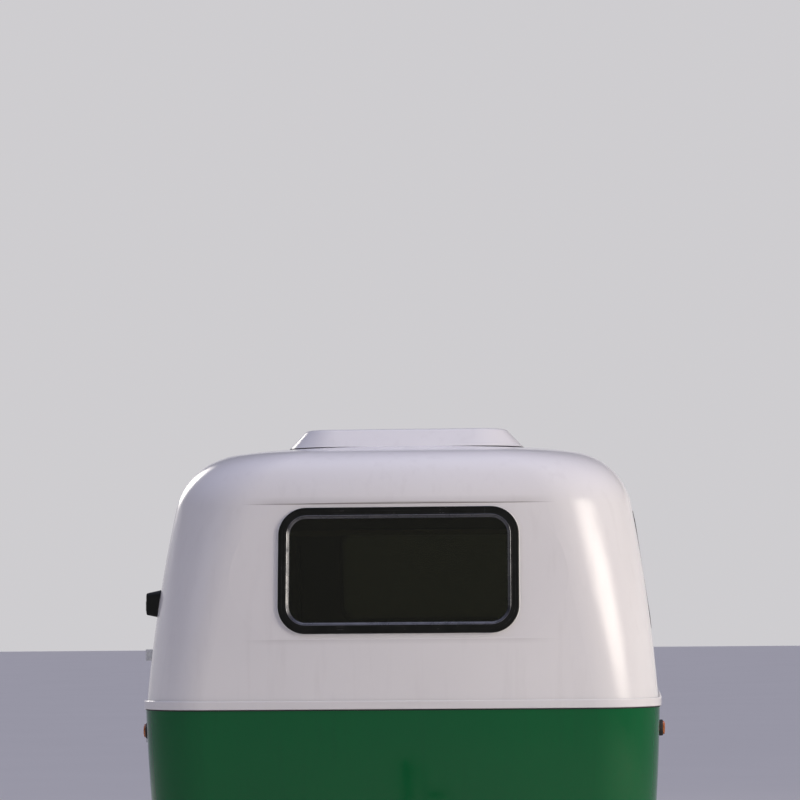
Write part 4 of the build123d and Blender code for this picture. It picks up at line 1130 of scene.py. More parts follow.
class Finishes:
    """Every finish of the trailer, made once."""

    def __init__(self) -> None:
        """Builds the materials."""
        green, deep = (0.002, 0.112, 0.030), (0.004, 0.086, 0.028)
        # Painted shade along the creases over and under the front window's pad: height, reach, share on the
        # line, share beside it.
        shade_over_window, shade_under_window = (1.906, 0.030, 0.75, 0.26), (1.390, -0.020, 0.0, 0.16)
        self.green = Gelcoat("green_gelcoat_finish", green, deep, gloss=0.3).make()
        self.flare = Gelcoat("flare_gelcoat_finish", green, deep, green, deep, gloss=0.3).make()
        self.white = Gelcoat(
            "white_gelcoat_finish",
            (0.80, 0.775, 0.765),
            (0.70, 0.67, 0.66),
            creases=(shade_over_window, shade_under_window),
        ).make()
        self.black = SatinPlastic(
            "frame_black_finish", (0.005, 0.0055, 0.004), (0.012, 0.012, 0.010), 0.3, gloss=0.22
        ).make()
        self.trim = SatinPlastic(
            "ridge_trim_finish", (0.02, 0.021, 0.019), (0.045, 0.045, 0.042), 0.18
        ).make()
        self.liner = SatinPlastic("liner_finish", (0.03, 0.03, 0.03), (0.06, 0.055, 0.05), 0.6).make()
        self.chassis = SatinPlastic(
            "chassis_finish", (0.016, 0.016, 0.017), (0.05, 0.046, 0.042), 0.36, 260.0
        ).make()
        self.vent = SatinPlastic("vent_finish", (0.72, 0.72, 0.68), (0.62, 0.61, 0.56), 0.34).make()
        self.wheel = SatinPlastic("wheel_finish", (0.74, 0.72, 0.69), (0.6, 0.57, 0.52), 0.18, 80.0).make()
        self.sealant = SatinPlastic("sealant_finish", (0.80, 0.79, 0.77), (0.66, 0.65, 0.62), 0.2).make()
        self.blind = SatinPlastic("blind_rail_finish", (0.86, 0.72, 0.54), (0.74, 0.60, 0.43), 0.45).make()
        self.vinyl = SatinPlastic("floor_vinyl_finish", (0.20, 0.18, 0.155), (0.30, 0.27, 0.23), 0.42).make()
        self.pane = TintedPane("pane_finish").make()
        self.plated = Metal("plated_finish", (0.60, 0.61, 0.63), (0.42, 0.43, 0.45), 0.3, 140.0).make()
        self.chrome = Metal("chrome_finish", (0.78, 0.78, 0.79), (0.6, 0.6, 0.6), 0.06).make()
        self.bead = Metal("bead_finish", (0.125, 0.125, 0.13), (0.075, 0.078, 0.085), 0.16).make()
        self.bright = Metal("bright_fixing_finish", (0.66, 0.66, 0.67), (0.45, 0.45, 0.46), 0.28).make()
        self.red = LampLens("red_lens_finish", (0.42, 0.008, 0.006)).make()
        self.amber = LampLens("amber_lens_finish", (0.78, 0.19, 0.004)).make()
        self.tyre = Rubber("tyre_finish").make()
        self.seal = Rubber("seal_finish", dusty=0.15).make()
        self.by_slot = {
            Slot.GREEN: self.green,
            Slot.WHITE: self.white,
            Slot.LINER: self.liner,
            Slot.FRAME: self.black,
            Slot.PANE: self.pane,
            Slot.PLATED: self.plated,
            Slot.CHASSIS: self.chassis,
            Slot.VENT: self.vent,
            Slot.RED: self.red,
            Slot.AMBER: self.amber,
            Slot.TYRE: self.tyre,
            Slot.WHEEL: self.wheel,
            Slot.CHROME: self.chrome,
        }

    def dress_nodes(self) -> None:
        """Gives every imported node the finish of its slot, and the solid flares one with no liner."""
        for part in frame["record"]["subparts"]:
            node = frame["nodes"][part["node"]]
            finish = self.by_slot[Slot(part["material_slot"])]
            node.data.materials.clear()
            node.data.materials.append(self.flare if part["node"] == "arch_flares" else finish)


@dataclass(frozen=True)
class Pane:
    """Where a flat pane sits: the station at the middle of its outer face, and its outline."""

    station: Station
    half_width: float
    half_height: float
    corner: float

    @classmethod
    def of(cls, node: str) -> Pane:
        """Reads the place and outline of a packed pane.

        Args:
            node: Name of the pane's node.

        Returns:
            Its station and outline.
        """
        mesh = frame["nodes"][node].data
        low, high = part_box(node)
        outward = (low + high) / 2 - Vector(CABIN_MIDDLE)
        outward.z = 0.0
        facing = [face for face in mesh.polygons if face.normal.dot(outward) > 0.5 * outward.length]
        plane = Station.facing(ORIGIN, max(facing, key=lambda face: face.area).normal.normalized())
        front = max(vertex.co.dot(plane.out) for vertex in mesh.vertices)
        face = [vertex.co for vertex in mesh.vertices if front - vertex.co.dot(plane.out) < FACE_TOLERANCE]
        wide = [point.dot(plane.across) for point in face]
        tall = [point.dot(plane.up) for point in face]
        half_width = (max(wide) - min(wide)) / 2
        half_height = (max(tall) - min(tall)) / 2
        mid_across, mid_up = (max(wide) + min(wide)) / 2, (max(tall) + min(tall)) / 2
        diagonal = max(a - mid_across + u - mid_up for a, u in zip(wide, tall))
        corner = (half_width + half_height - diagonal) / (2 - math.sqrt(2))
        return cls(plane.moved(mid_across, mid_up, front), half_width, half_height, corner)

    def hoop(self, section: Sequence[Flat]) -> Shape:
        """A closed ring round the pane.

        Args:
            section: Pairs of distance in from the edge and height.

        Returns:
            The ring.
        """
        rings = []
        for inward, height in section:
            outline = rounded(self.half_width - inward, self.half_height - inward, self.corner - inward, 12)
            rings.append([self.station.at(a, u, height) for a, u in outline])
        return Shape().skin(rings, closed=True)


@dataclass
class Window:
    """Trim of one window: metal bead on the glass, ridges and a joint on the frame, sealant round it."""

    name: str
    body: Body
    flange: float = 0.036
    frame_face: float = 0.006
    sunk: float = 0.0005
    bead_lap: float = 0.005
    bead_reach: float = 0.0078
    bead_ease: float = 0.0012
    ridges: Sequence[float] = (-0.021, -0.0105)
    ridge_section: Sequence[Flat] = (
        (-0.0011, -0.0004),
        (-0.0005, 0.0006),
        (0.0005, 0.0006),
        (0.0011, -0.0004),
    )
    joint_share: float = 0.78
    joint_half_width: float = 0.0006
    joint_end_room: float = 0.002
    sealant_section: Sequence[Flat] = (
        (0.0006, 0.0034),
        (-0.0010, 0.0021),
        (-0.0029, 0.0003),
        (-0.0034, -0.0008),
        (0.0006, -0.0008),
    )

    def build(self, finishes: Finishes) -> None:
        """Makes the window's trim.

        Args:
            finishes: The trailer's finishes.
        """
        pane = Pane.of(f"{self.name}_window_glass")
        self.bead(pane, finishes.bead)
        self.ridge_lines(pane, finishes.trim)
        self.joint(pane, finishes.seal)
        self.sealant(pane, finishes.sealant)

    def bead(self, pane: Pane, finish: bpy.types.Material) -> None:
        """The grey metal bead that holds the glass, from the frame's inner lip down to the pane.

        Args:
            pane: Where the glass sits.
            finish: Its material.
        """
        face = self.frame_face
        section = (
            (-self.bead_lap, face - self.sunk),
            (-self.bead_lap, face + 0.0010),
            (-self.bead_lap + self.bead_ease, face + 0.0018),
            (self.bead_reach - self.bead_ease, 0.0013),
            (self.bead_reach, -0.0004),
            (self.sunk, -0.0004),
            (self.sunk, face - self.sunk),
        )
        piece(f"{self.name}_window_bead", pane.hoop(section), finish, self.body, 50.0)

    def ridge_lines(self, pane: Pane, finish: bpy.types.Material) -> None:
        """Fine ridges moulded round the frame's face.

        Args:
            pane: Where the glass sits.
            finish: Its material.
        """
        for index, middle in enumerate(self.ridges):
            section = [(middle + inward, self.frame_face + height) for inward, height in self.ridge_section]
            piece(f"{self.name}_window_ridge_{index + 1}", pane.hoop(section), finish, self.body)

    def joint(self, pane: Pane, finish: bpy.types.Material) -> None:
        """The butt joint where the frame's moulding closes, near the top right corner.

        Args:
            pane: Where the glass sits.
            finish: Its material.
        """
        across, up = pane.half_width * self.joint_share, pane.half_height + self.flange / 2
        station = pane.station.moved(across, up, self.frame_face)
        half_width, half_height = self.joint_half_width, self.flange / 2 - self.joint_end_room
        layers = ((0.0, -self.sunk), (0.0, 0.0007))
        shape = Shape().plate(station, half_width, half_height, half_width / 2, layers)
        piece(f"{self.name}_window_joint", shape, finish, self.body)

    def sealant(self, pane: Pane, finish: bpy.types.Material) -> None:
        """The thin white fillet of sealant between the frame and the gelcoat.

        Args:
            pane: Where the glass sits.
            finish: Its material.
        """
        edge, pad = self.flange, self.frame_face
        section = [(inward - edge, height - pad) for inward, height in self.sealant_section]
        piece(f"{self.name}_window_sealant", pane.hoop(section), finish, self.body, 60.0)


@dataclass
class BlindRail:
    """The blind's bottom rail, seen through the front window."""

    rise: float = 0.148
    behind: float = 0.028
    half_height: float = 0.010
    half_depth: float = 0.006
    corner: float = 0.004
    ease: float = 0.002
    end_room: float = 0.002

    def build(self, finishes: Finishes) -> None:
        """Makes the rail across the front opening.

        Args:
            finishes: The trailer's finishes.
        """
        pane = Pane.of("front_window_glass")
        station = pane.station.moved(0.0, self.rise, -self.behind)
        ease, deep = self.ease, self.half_depth
        layers = ((ease, -deep), (0.0, ease - deep), (0.0, deep - ease), (ease, deep))
        shape = Shape().plate(station, pane.half_width - self.end_room, self.half_height, self.corner, layers)
        piece("front_blind_rail", shape, finishes.blind, Body.TRAILER)


@dataclass
class BeltSealant:
    """The dark line of sealant under the belt rim, on the body, the door and the hatch."""

    half_width: float = 1.0035
    half_length: float = 1.524
    corner: float = 0.2625
    height: float = 1.1258
    stand_off: float = 0.3
    deepest: float = 0.325
    radius: float = 0.0026
    spacing: float = 0.012

    def build(self, finishes: Finishes, trees: Trees) -> None:
        """Lays the bead along each body's part of the belt.

        Args:
            finishes: The trailer's finishes.
            trees: The Geometry Nodes trees.
        """
        parts = (("lower_shell", Body.TRAILER), ("door_lower", Body.DOOR), ("hatch_lower", Body.HATCH))
        for node, body in parts:
            runs = self.runs(Skin(node))
            mesh = trees.bead.run(lines(runs), Radius=self.radius, Sides=8, Finish=finishes.seal)
            settle(f"belt_sealant_{node}", mesh, body)

    def runs(self, skin: Skin) -> list[list[Vector]]:
        """Unbroken runs of points on the outside of a node at the belt's height.

        Args:
            skin: The node's surface.

        Returns:
            The runs.
        """
        away = self.stand_off
        path = walk(self.half_width + away, self.half_length + away, self.corner + away, self.spacing)
        found: list[Optional[Vector]] = []
        for (x, y), (way_x, way_y) in path:
            start = Vector((x, y + CABIN_MIDDLE[1], self.height))
            hit = skin.drop(start, Vector((-way_x, -way_y, 0.0)))
            near = hit is not None and (hit[0] - start).length < self.deepest
            found.append(hit[0] if near else None)
        first_gap = found.index(None)
        runs: list[list[Vector]] = [[]]
        for point in found[first_gap:] + found[:first_gap]:
            if point is None:
                runs.append([])
            else:
                runs[-1].append(point)
        return [run for run in runs if len(run) > 2]


@dataclass
class Opening:
    """The stop flange and rubber seal round a door or hatch opening, on the body behind the panel.

    Attributes:
        across_axis: 0 where the opening's width lies along X, 1 where it lies along Y.
        middle: The opening's middle, along that axis and in height.
        look_from: Where rays to the wall start, on the other axis.
        outward: Their way along it, 1 or -1.
        reach: How far the flange laps the panel.
        wall_side: How far it goes over the wall, and rib_from where its rib on the wall begins.
        gap: Room between the panel and the flange.
        sample_at: How far from the panel's edge the wall is felt for, on both sides.
    """

    name: str
    panel_nodes: Sequence[str]
    across_axis: int
    middle: Flat
    half_width: float
    half_height: float
    corner: float
    look_from: float
    outward: int
    reach: float
    wall_side: float = 0.034
    rib_from: float = 0.022
    gap: float = 0.004
    thickness: float = 0.004
    sunk: float = 0.0005
    bulb_in: float = 0.003
    bulb_radius: float = 0.0026
    bulb_sunk: float = 0.001
    sample_at: float = 0.028
    spacing: float = 0.022

    def build(self, finishes: Finishes, trees: Trees) -> None:
        """Makes the flange and its seal.

        Args:
            finishes: The trailer's finishes.
            trees: The Geometry Nodes trees.
        """
        skin = Skin("upper_shell", "lower_shell", *self.panel_nodes)
        section = (
            (self.wall_side, -self.sunk),
            (self.wall_side, self.gap + self.thickness),
            (-self.reach, self.gap + self.thickness),
            (-self.reach, self.gap),
            (self.rib_from, self.gap),
            (self.rib_from, -self.sunk),
        )
        bulb_depth = self.gap - self.bulb_radius + self.bulb_sunk
        rings, bulb = [], []
        for place, way in walk(self.half_width, self.half_height, self.corner, self.spacing):
            edge, across, inward = self.seat(skin, place, way)
            rings.append([edge + across * u + inward * depth for u, depth in section])
            bulb.append(edge - across * self.bulb_in + inward * bulb_depth)
        flange = Shape().skin(rings, closed=True)
        piece(f"{self.name}_stop_flange", flange, finishes.white, Body.TRAILER)
        mesh = trees.bead.run(lines([bulb], True), Radius=self.bulb_radius, Sides=8, Finish=finishes.seal)
        settle(f"{self.name}_bulb_seal", mesh, Body.TRAILER)

    def seat(self, skin: Skin, place: Flat, way: Flat) -> tuple[Vector, Vector, Vector]:
        """Finds the wall's inner face at one point of the panel's edge.

        Args:
            skin: The shells and the panel.
            place: The point on the panel's outline.
            way: The outline's outward direction there.

        Returns:
            The edge point, the direction away from the panel and the direction into the cabin.
        """
        seen = []
        outward = Vector((0.0, 0.0, 0.0))
        outward[1 - self.across_axis] = self.outward
        for side in (-self.sample_at, self.sample_at):
            flat = [self.middle[k] + place[k] + way[k] * side for k in (0, 1)]
            start = Vector((0.0, 0.0, flat[1]))
            start[self.across_axis] = flat[0]
            start[1 - self.across_axis] = self.look_from
            hit = skin.drop(start, outward)
            seen.append(hit[0] if hit else start)
        across = (seen[1] - seen[0]).normalized()
        inward = (across * outward.dot(across) - outward).normalized()
        return (seen[0] + seen[1]) / 2, across, inward


@dataclass
class Fixings:
    """Screws and bolts on the hinges, hitch and jack plate.

    Attributes:
        beside: X, behind Y and above Z where the rays to what is fastened start.
        leaf: Each screw of a door hinge's leaf, from the door's edge and from the hinge's height.
        hatch_screws: Each screw of a hatch hinge's leaf, along X from the hinge.
        bracket_height: Height of the screws in the shell, and strap_height that of those in the hatch.
    """

    screw_radius: float = 0.0042
    bolt_radius: float = 0.0115
    beside: float = -1.3
    behind: float = 2.4
    above: float = 0.8
    door_hinges: Sequence[float] = (0.690, 1.010, 1.330)
    door_edge: float = -0.561
    leaf: Sequence[Flat] = ((0.018, -0.012), (0.018, 0.012), (0.048, -0.012), (0.048, 0.012))
    hatch_hinges: Sequence[float] = (-0.430, 0.430)
    hatch_screws: Sequence[float] = (-0.028, 0.0, 0.028)
    bracket_height: float = 1.990
    strap_height: float = 1.930
    coupler_x: Sequence[float] = (-0.055, 0.055)
    coupler_y: Sequence[float] = (-1.800, -1.850)
    jack_plate_x: Sequence[float] = (-0.112, 0.112)
    jack_plate_y: Sequence[float] = (-1.725, -1.641)

    def build(self, finishes: Finishes, trees: Trees) -> None:
        """Stands every screw and bolt on what it fastens.

        Args:
            finishes: The trailer's finishes.
            trees: The Geometry Nodes trees.
        """
        brackets, straps = (
            [(self.beside, self.door_edge + way * a, z + u) for z in self.door_hinges for a, u in self.leaf]
            for way in (-1, 1)
        )
        upper, lower = (
            [(x + a, self.behind, height) for x in self.hatch_hinges for a in self.hatch_screws]
            for height in (self.bracket_height, self.strap_height)
        )
        tail = [(x, y, self.above) for x in self.coupler_x for y in self.coupler_y]
        plate = [(x, y, self.above) for x in self.jack_plate_x for y in self.jack_plate_y]
        heads = {"screw": self.screw_head(), "bolt": self.bolt_head()}
        groups = (
            ("door_bracket_screws", "door_hinge_brackets", brackets, LEFTWARDS, Body.TRAILER, "screw"),
            ("door_strap_screws", "door_hinge_straps", straps, LEFTWARDS, Body.DOOR, "screw"),
            ("hatch_bracket_screws", "hatch_hinge_brackets", upper, -REARWARDS, Body.TRAILER, "screw"),
            ("hatch_strap_screws", "hatch_hinge_straps", lower, -REARWARDS, Body.HATCH, "screw"),
            ("coupler_bolts", "coupler", tail, -UPWARDS, Body.TRAILER, "bolt"),
            ("jack_plate_bolts", "jack_housing", plate, -UPWARDS, Body.TRAILER, "bolt"),
        )
        for name, node, starts, way, body, head in groups:
            skin = Skin(node)
            places = [hit for hit in (skin.drop(Vector(start), way) for start in starts) if hit]
            size = self.screw_radius if head == "screw" else self.bolt_radius
            mesh = trees.fixings.run(spots(places), Head=heads[head], Size=size, Finish=finishes.bright)
            settle(name, mesh, body)
        for head in heads.values():
            bpy.data.objects.remove(head)

    def screw_head(self) -> bpy.types.Object:
        """A domed screw head of radius 1 with a round driver recess.

        Returns:
            The head, for a tree to copy.
        """
        dome = ((0.0, -0.1), (1.0, -0.1), (1.0, 0.08), (0.86, 0.34), (0.55, 0.50))
        recess = ((0.40, 0.50), (0.28, 0.2), (0.0, 0.2))
        shape = Shape().turn((*dome, *recess), ORIGIN, UPWARDS, 14)
        return add_object("screw_head", mesh_of("screw_head", shape))

    def bolt_head(self) -> bpy.types.Object:
        """A hexagon bolt head on a washer, of radius 1.

        Returns:
            The head, for a tree to copy.
        """
        washer = ((0.0, -0.1), (1.0, -0.1), (1.0, 0.10), (0.95, 0.14), (0.0, 0.14))
        hexagon = ((0.0, 0.1), (0.78, 0.1), (0.78, 0.62), (0.66, 0.70), (0.0, 0.70))
        shape = Shape().turn(washer, ORIGIN, UPWARDS, 24).turn(hexagon, ORIGIN, UPWARDS, 6)
        return add_object("bolt_head", mesh_of("bolt_head", shape))


@dataclass
class RoundLamp:
    """A round lamp's rubber bezel and ribbed lens face.

    Attributes:
        middle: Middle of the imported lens's face.
        out: The way that it faces.
        radius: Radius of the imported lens.
        proud: How far its face stands off the wall.
        ribs: Radius of each rib, as a share of the lens's.
    """

    name: str
    middle: Vector
    out: Vector
    radius: float
    proud: float
    red: bool
    bezel: float = 0.007
    bezel_under: float = 0.001
    lens_share: float = 0.93
    ribs: Sequence[float] = (0.30, 0.48, 0.66, 0.84)
    half_rib: float = 0.0022
    lens_face: float = 0.0004
    rib_top: float = 0.0018

    def build(self, finishes: Finishes) -> None:
        """Makes the bezel and the lens.

        Args:
            finishes: The trailer's finishes.
        """
        wall = -self.proud
        inner, outer = self.radius - self.bezel_under, self.radius + self.bezel
        section = (
            (inner, wall - 0.008),
            (outer, wall - 0.008),
            (outer, wall + 0.003),
            (self.radius + self.bezel * 0.6, wall + 0.006),
            (inner, wall + 0.006),
        )
        shape = Shape().hoop(section, self.middle, self.out)
        piece(f"{self.name}_bezel", shape, finishes.seal, Body.TRAILER)
        face, edge = self.lens_face, self.radius * self.lens_share
        profile = [(0.0, -0.002), (edge, -0.002), (edge, face)]
        for share in reversed(self.ribs):
            rib = self.radius * share
            profile += [(rib + self.half_rib, face), (rib, self.rib_top), (rib - self.half_rib, face)]
        lens = Shape().turn([*profile, (0.0, face)], self.middle, self.out, 48)
        finish, slot = (finishes.red, Slot.RED) if self.red else (finishes.amber, Slot.AMBER)
        piece(f"{self.name}_lens", lens, finish, Body.TRAILER, 20.0)


@dataclass
class Fittings:
    """Small things on the shell: lamps, power inlet, porch lamp lens and locks.

    Attributes:
        tail_lamp: Middle of the left tail lamp's face.
        marker: Half way between the left side markers' faces, which are marker_along from it.
        inlet: Middle of the power inlet's face.
        porch_from: Where the ray to the porch lamp starts. The two that follow are for the locks.
        lock_face: How far a lock's barrel stands out.
    """

    tail_lamp: Point = (0.715, 1.9827, 0.960)
    tail_radius: float = 0.045
    tail_proud: float = 0.020
    marker: Point = (1.0058, 0.457, 1.040)
    marker_along: float = 1.180
    marker_radius: float = 0.026
    marker_proud: float = 0.012
    marker_bezel: float = 0.005
    inlet: Point = (1.0005, 1.507, 0.840)
    flap_radius: float = 0.037
    porch_from: Point = (-1.3, -0.7035, 1.522)
    door_lock_from: Point = (-1.3, 0.002, 1.010)
    hatch_lock_from: Point = (0.0, 2.4, 0.735)
    lock_face: float = 0.0028

    def build(self, finishes: Finishes) -> None:
        """Makes every fitting.

        Args:
            finishes: The trailer's finishes.
        """
        tail, marker = self.tail_lamp, self.marker
        for side, name in SIDES:
            place = Vector((side * tail[0], tail[1], tail[2]))
            lamp = RoundLamp(f"tail_lamp_{name}", place, REARWARDS, self.tail_radius, self.tail_proud, True)
            lamp.build(finishes)
            for way, end in ((-1, "front"), (1, "rear")):
                place = Vector((side * marker[0], marker[1] + way * self.marker_along, marker[2]))
                sizes = (self.marker_radius, self.marker_proud, False, self.marker_bezel)
                RoundLamp(f"marker_{name}_{end}", place, LEFTWARDS * side, *sizes).build(finishes)
        self.power_flap(finishes)
        self.porch_lens(finishes)
        self.locks(finishes)

    def power_flap(self, finishes: Finishes) -> None:
        """The hinged flap over the power inlet.

        Args:
            finishes: The trailer's finishes.
        """
        middle = Vector(self.inlet)
        r = self.flap_radius
        side = ((0.0, -0.002), (r, -0.002), (r, 0.0012))
        face = ((r - 0.003, 0.0034), (r * 0.5, 0.0046), (0.0, 0.005))
        shape = Shape().turn((*side, *face), middle, LEFTWARDS, 48)
        hinge = middle + Vector((0.001, 0.0, r))
        shape.rod(hinge + Vector((0, -0.02, 0)), hinge + Vector((0, 0.02, 0)), 0.0035, 0.001)
        tab = middle - Vector((0.0, 0.0, r))
        shape.block(tab + Vector((-0.002, -0.009, -0.004)), tab + Vector((0.0022, 0.009, 0.004)), 0.0008)
        piece("power_inlet_flap", shape, finishes.vent, Body.TRAILER)

    def porch_lens(self, finishes: Finishes) -> None:
        """The smoked lens on the porch lamp's face.

        Args:
            finishes: The trailer's finishes.
        """
        hit = Skin("porch_lamp").drop(Vector(self.porch_from), LEFTWARDS)
        if hit is None:
            return
        station = Station.facing(hit[0], hit[1] if hit[1].x < 0 else -hit[1])
        shape = Shape().plate(station, 0.017, 0.020, 0.005, ((0.0, -0.001), (0.0, 0.0012), (0.0022, 0.0028)))
        piece("porch_lamp_lens", shape, finishes.pane, Body.TRAILER)

    def locks(self, finishes: Finishes) -> None:
        """Key barrels in the door handle and beside the hatch grip.

        Args:
            finishes: The trailer's finishes.
        """
        places = (
            ("door_lock", "door_handle", self.door_lock_from, -LEFTWARDS, 0.0065, Body.DOOR),
            ("hatch_lock", "hatch_lower", self.hatch_lock_from, REARWARDS, 0.0130, Body.HATCH),
        )
        face = self.lock_face
        for name, node, start, out, radius, body in places:
            hit = Skin(node).drop(Vector(start), -out)
            if hit is None:
                continue
            profile = ((0.0, -0.003), (radius, -0.003), (radius, 0.0016), (radius * 0.84, face), (0.0, face))
            piece(name, Shape().turn(profile, hit[0], out, 32), finishes.chrome, body)
            station = Station.facing(hit[0] + out * face, out)
            keyway = Shape().plate(station, 0.0007, radius * 0.5, 0.0005, ((0.0, -0.0006), (0.0, 0.0003)))
            piece(f"{name}_keyway", keyway, finishes.seal, body)


@dataclass
class Wheel:
    """One tyre with its tread blocks, and the valve on its rim.

    Attributes:
        side: 1 on the left and -1 on the right.
        outer: Radius over the tread.
        block_share: A block's length, as a share of the pitch from block to block.
        skew: How far a block's outer end is ahead of its middle.
        rows: For each row, its place across the tyre, the fall of its top and its shift round the tyre.
    """

    name: str
    side: int
    body: Body
    middle_x: float = 0.8535
    outer: float = 0.3046
    count: int = 62
    block_depth: float = 0.0095
    block_ease: float = 0.0012
    block_narrower: float = 0.0011
    block_share: float = 0.86
    half_block: float = 0.0140
    skew: float = 0.004
    valve_from: float = 0.4
    valve_reach: float = 0.148
    rows: Sequence[tuple[float, float, float]] = (
        (-0.0545, 0.085, 0.0),
        (-0.0180, 0.018, 0.5),
        (0.0180, -0.018, 0.0),
        (0.0545, -0.085, 0.5),
    )

    @property
    def middle(self) -> Vector:
        """The wheel's middle."""
        return Vector((self.side * self.middle_x, *AXLE))

    def build(self, finishes: Finishes, trees: Trees) -> None:
        """Makes the carcass, the tread and the valve.

        Args:
            finishes: The trailer's finishes.
            trees: The Geometry Nodes trees.
        """
        self.carcass(finishes)
        self.tread(finishes, trees)
        self.valve(finishes)

    def carcass(self, finishes: Finishes) -> None:
        """The tyre's body, with ribs round its side walls.

        Args:
            finishes: The trailer's finishes.
        """
        half = (
            (0.2970, 0.0),
            (0.2962, 0.040),
            (0.2925, 0.064),
            (0.2860, 0.0765),
            (0.2760, 0.0830),
            (0.2700, 0.0846),
            (0.2690, 0.0862),
            (0.2660, 0.0866),
            (0.2650, 0.0858),
            (0.2520, 0.0884),
            (0.2380, 0.0890),
            (0.2240, 0.0880),
            (0.2120, 0.0846),
            (0.2110, 0.0858),
            (0.2085, 0.0856),
            (0.2075, 0.0838),
            (0.1960, 0.0790),
            (0.1900, 0.0762),
            (0.1870, 0.0750),
            (0.1840, 0.0700),
            (0.1740, 0.0640),
            (0.1735, 0.0560),
            (0.1850, 0.0600),
            (0.2100, 0.0760),
            (0.2400, 0.0815),
            (0.2700, 0.0760),
            (0.2850, 0.0600),
            (0.2890, 0.0),
        )
        mirrored = [(radius, -across) for radius, across in reversed(half[1:-1])]
        shape = Shape().hoop([*half, *mirrored], self.middle, LEFTWARDS, 120)
        made = piece(f"tyre_carcass_{self.name}", shape, finishes.tyre, self.body, 40.0)
        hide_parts(f"tyre_{self.name}")

    def tread(self, finishes: Finishes, trees: Trees) -> None:
        """Four rows of tread blocks, each row a ring of one block.

        Args:
            finishes: The trailer's finishes.
            trees: The Geometry Nodes trees.
        """
        pitch = 2 * math.pi * self.outer / self.count
        half_wide = self.half_block
        layers = ((0.0, -self.block_depth), (0.0, -self.block_ease), (self.block_narrower, 0.0))
        for index, (across, fall, shift) in enumerate(self.rows):
            skew = self.skew if index % 2 else -self.skew
            rings = []
            for narrower, height in layers:
                wide, long = half_wide - narrower, pitch * self.block_share / 2 - narrower
                corners = ((-wide, -long), (wide, -long), (wide, long), (-wide, long))
                low = height - abs(fall) * half_wide
                rings.append([Vector((x, y + skew * x / half_wide, low + fall * x)) for x, y in corners])
            block = add_object("tread_block", mesh_of("tread_block", Shape().skin(rings)))
            mesh = trees.ring.run(
                bpy.data.meshes.new("tread_start"),
                Thing=block,
                Count=self.count,
                Radius=self.outer,
                Across=across,
                Shift=shift,
                Middle=tuple(self.middle),
                Finish=finishes.tyre,
            )
            bpy.data.objects.remove(block)
            settle(f"tread_{self.name}_row_{index + 1}", mesh, self.body)

    def valve(self, finishes: Finishes) -> None:
        """The rubber valve stem and its cap, near the rim's edge.

        Args:
            finishes: The trailer's finishes.
        """
        place = self.middle + Vector((self.side * self.valve_from, 0.0, -self.valve_reach))
        hit = Skin(f"rim_{self.name}").drop(place, LEFTWARDS * -self.side)
        if hit is None:
            return
        profile = (
            (0.0, -0.004),
            (0.0072, -0.004),
            (0.0070, 0.004),
            (0.0045, 0.007),
            (0.0042, 0.018),
            (0.0052, 0.019),
            (0.0052, 0.026),
            (0.0042, 0.028),
            (0.0, 0.028),
        )
        shape = Shape().turn(profile, hit[0], LEFTWARDS * self.side, 20)
        piece(f"valve_{self.name}", shape, finishes.seal, self.body)


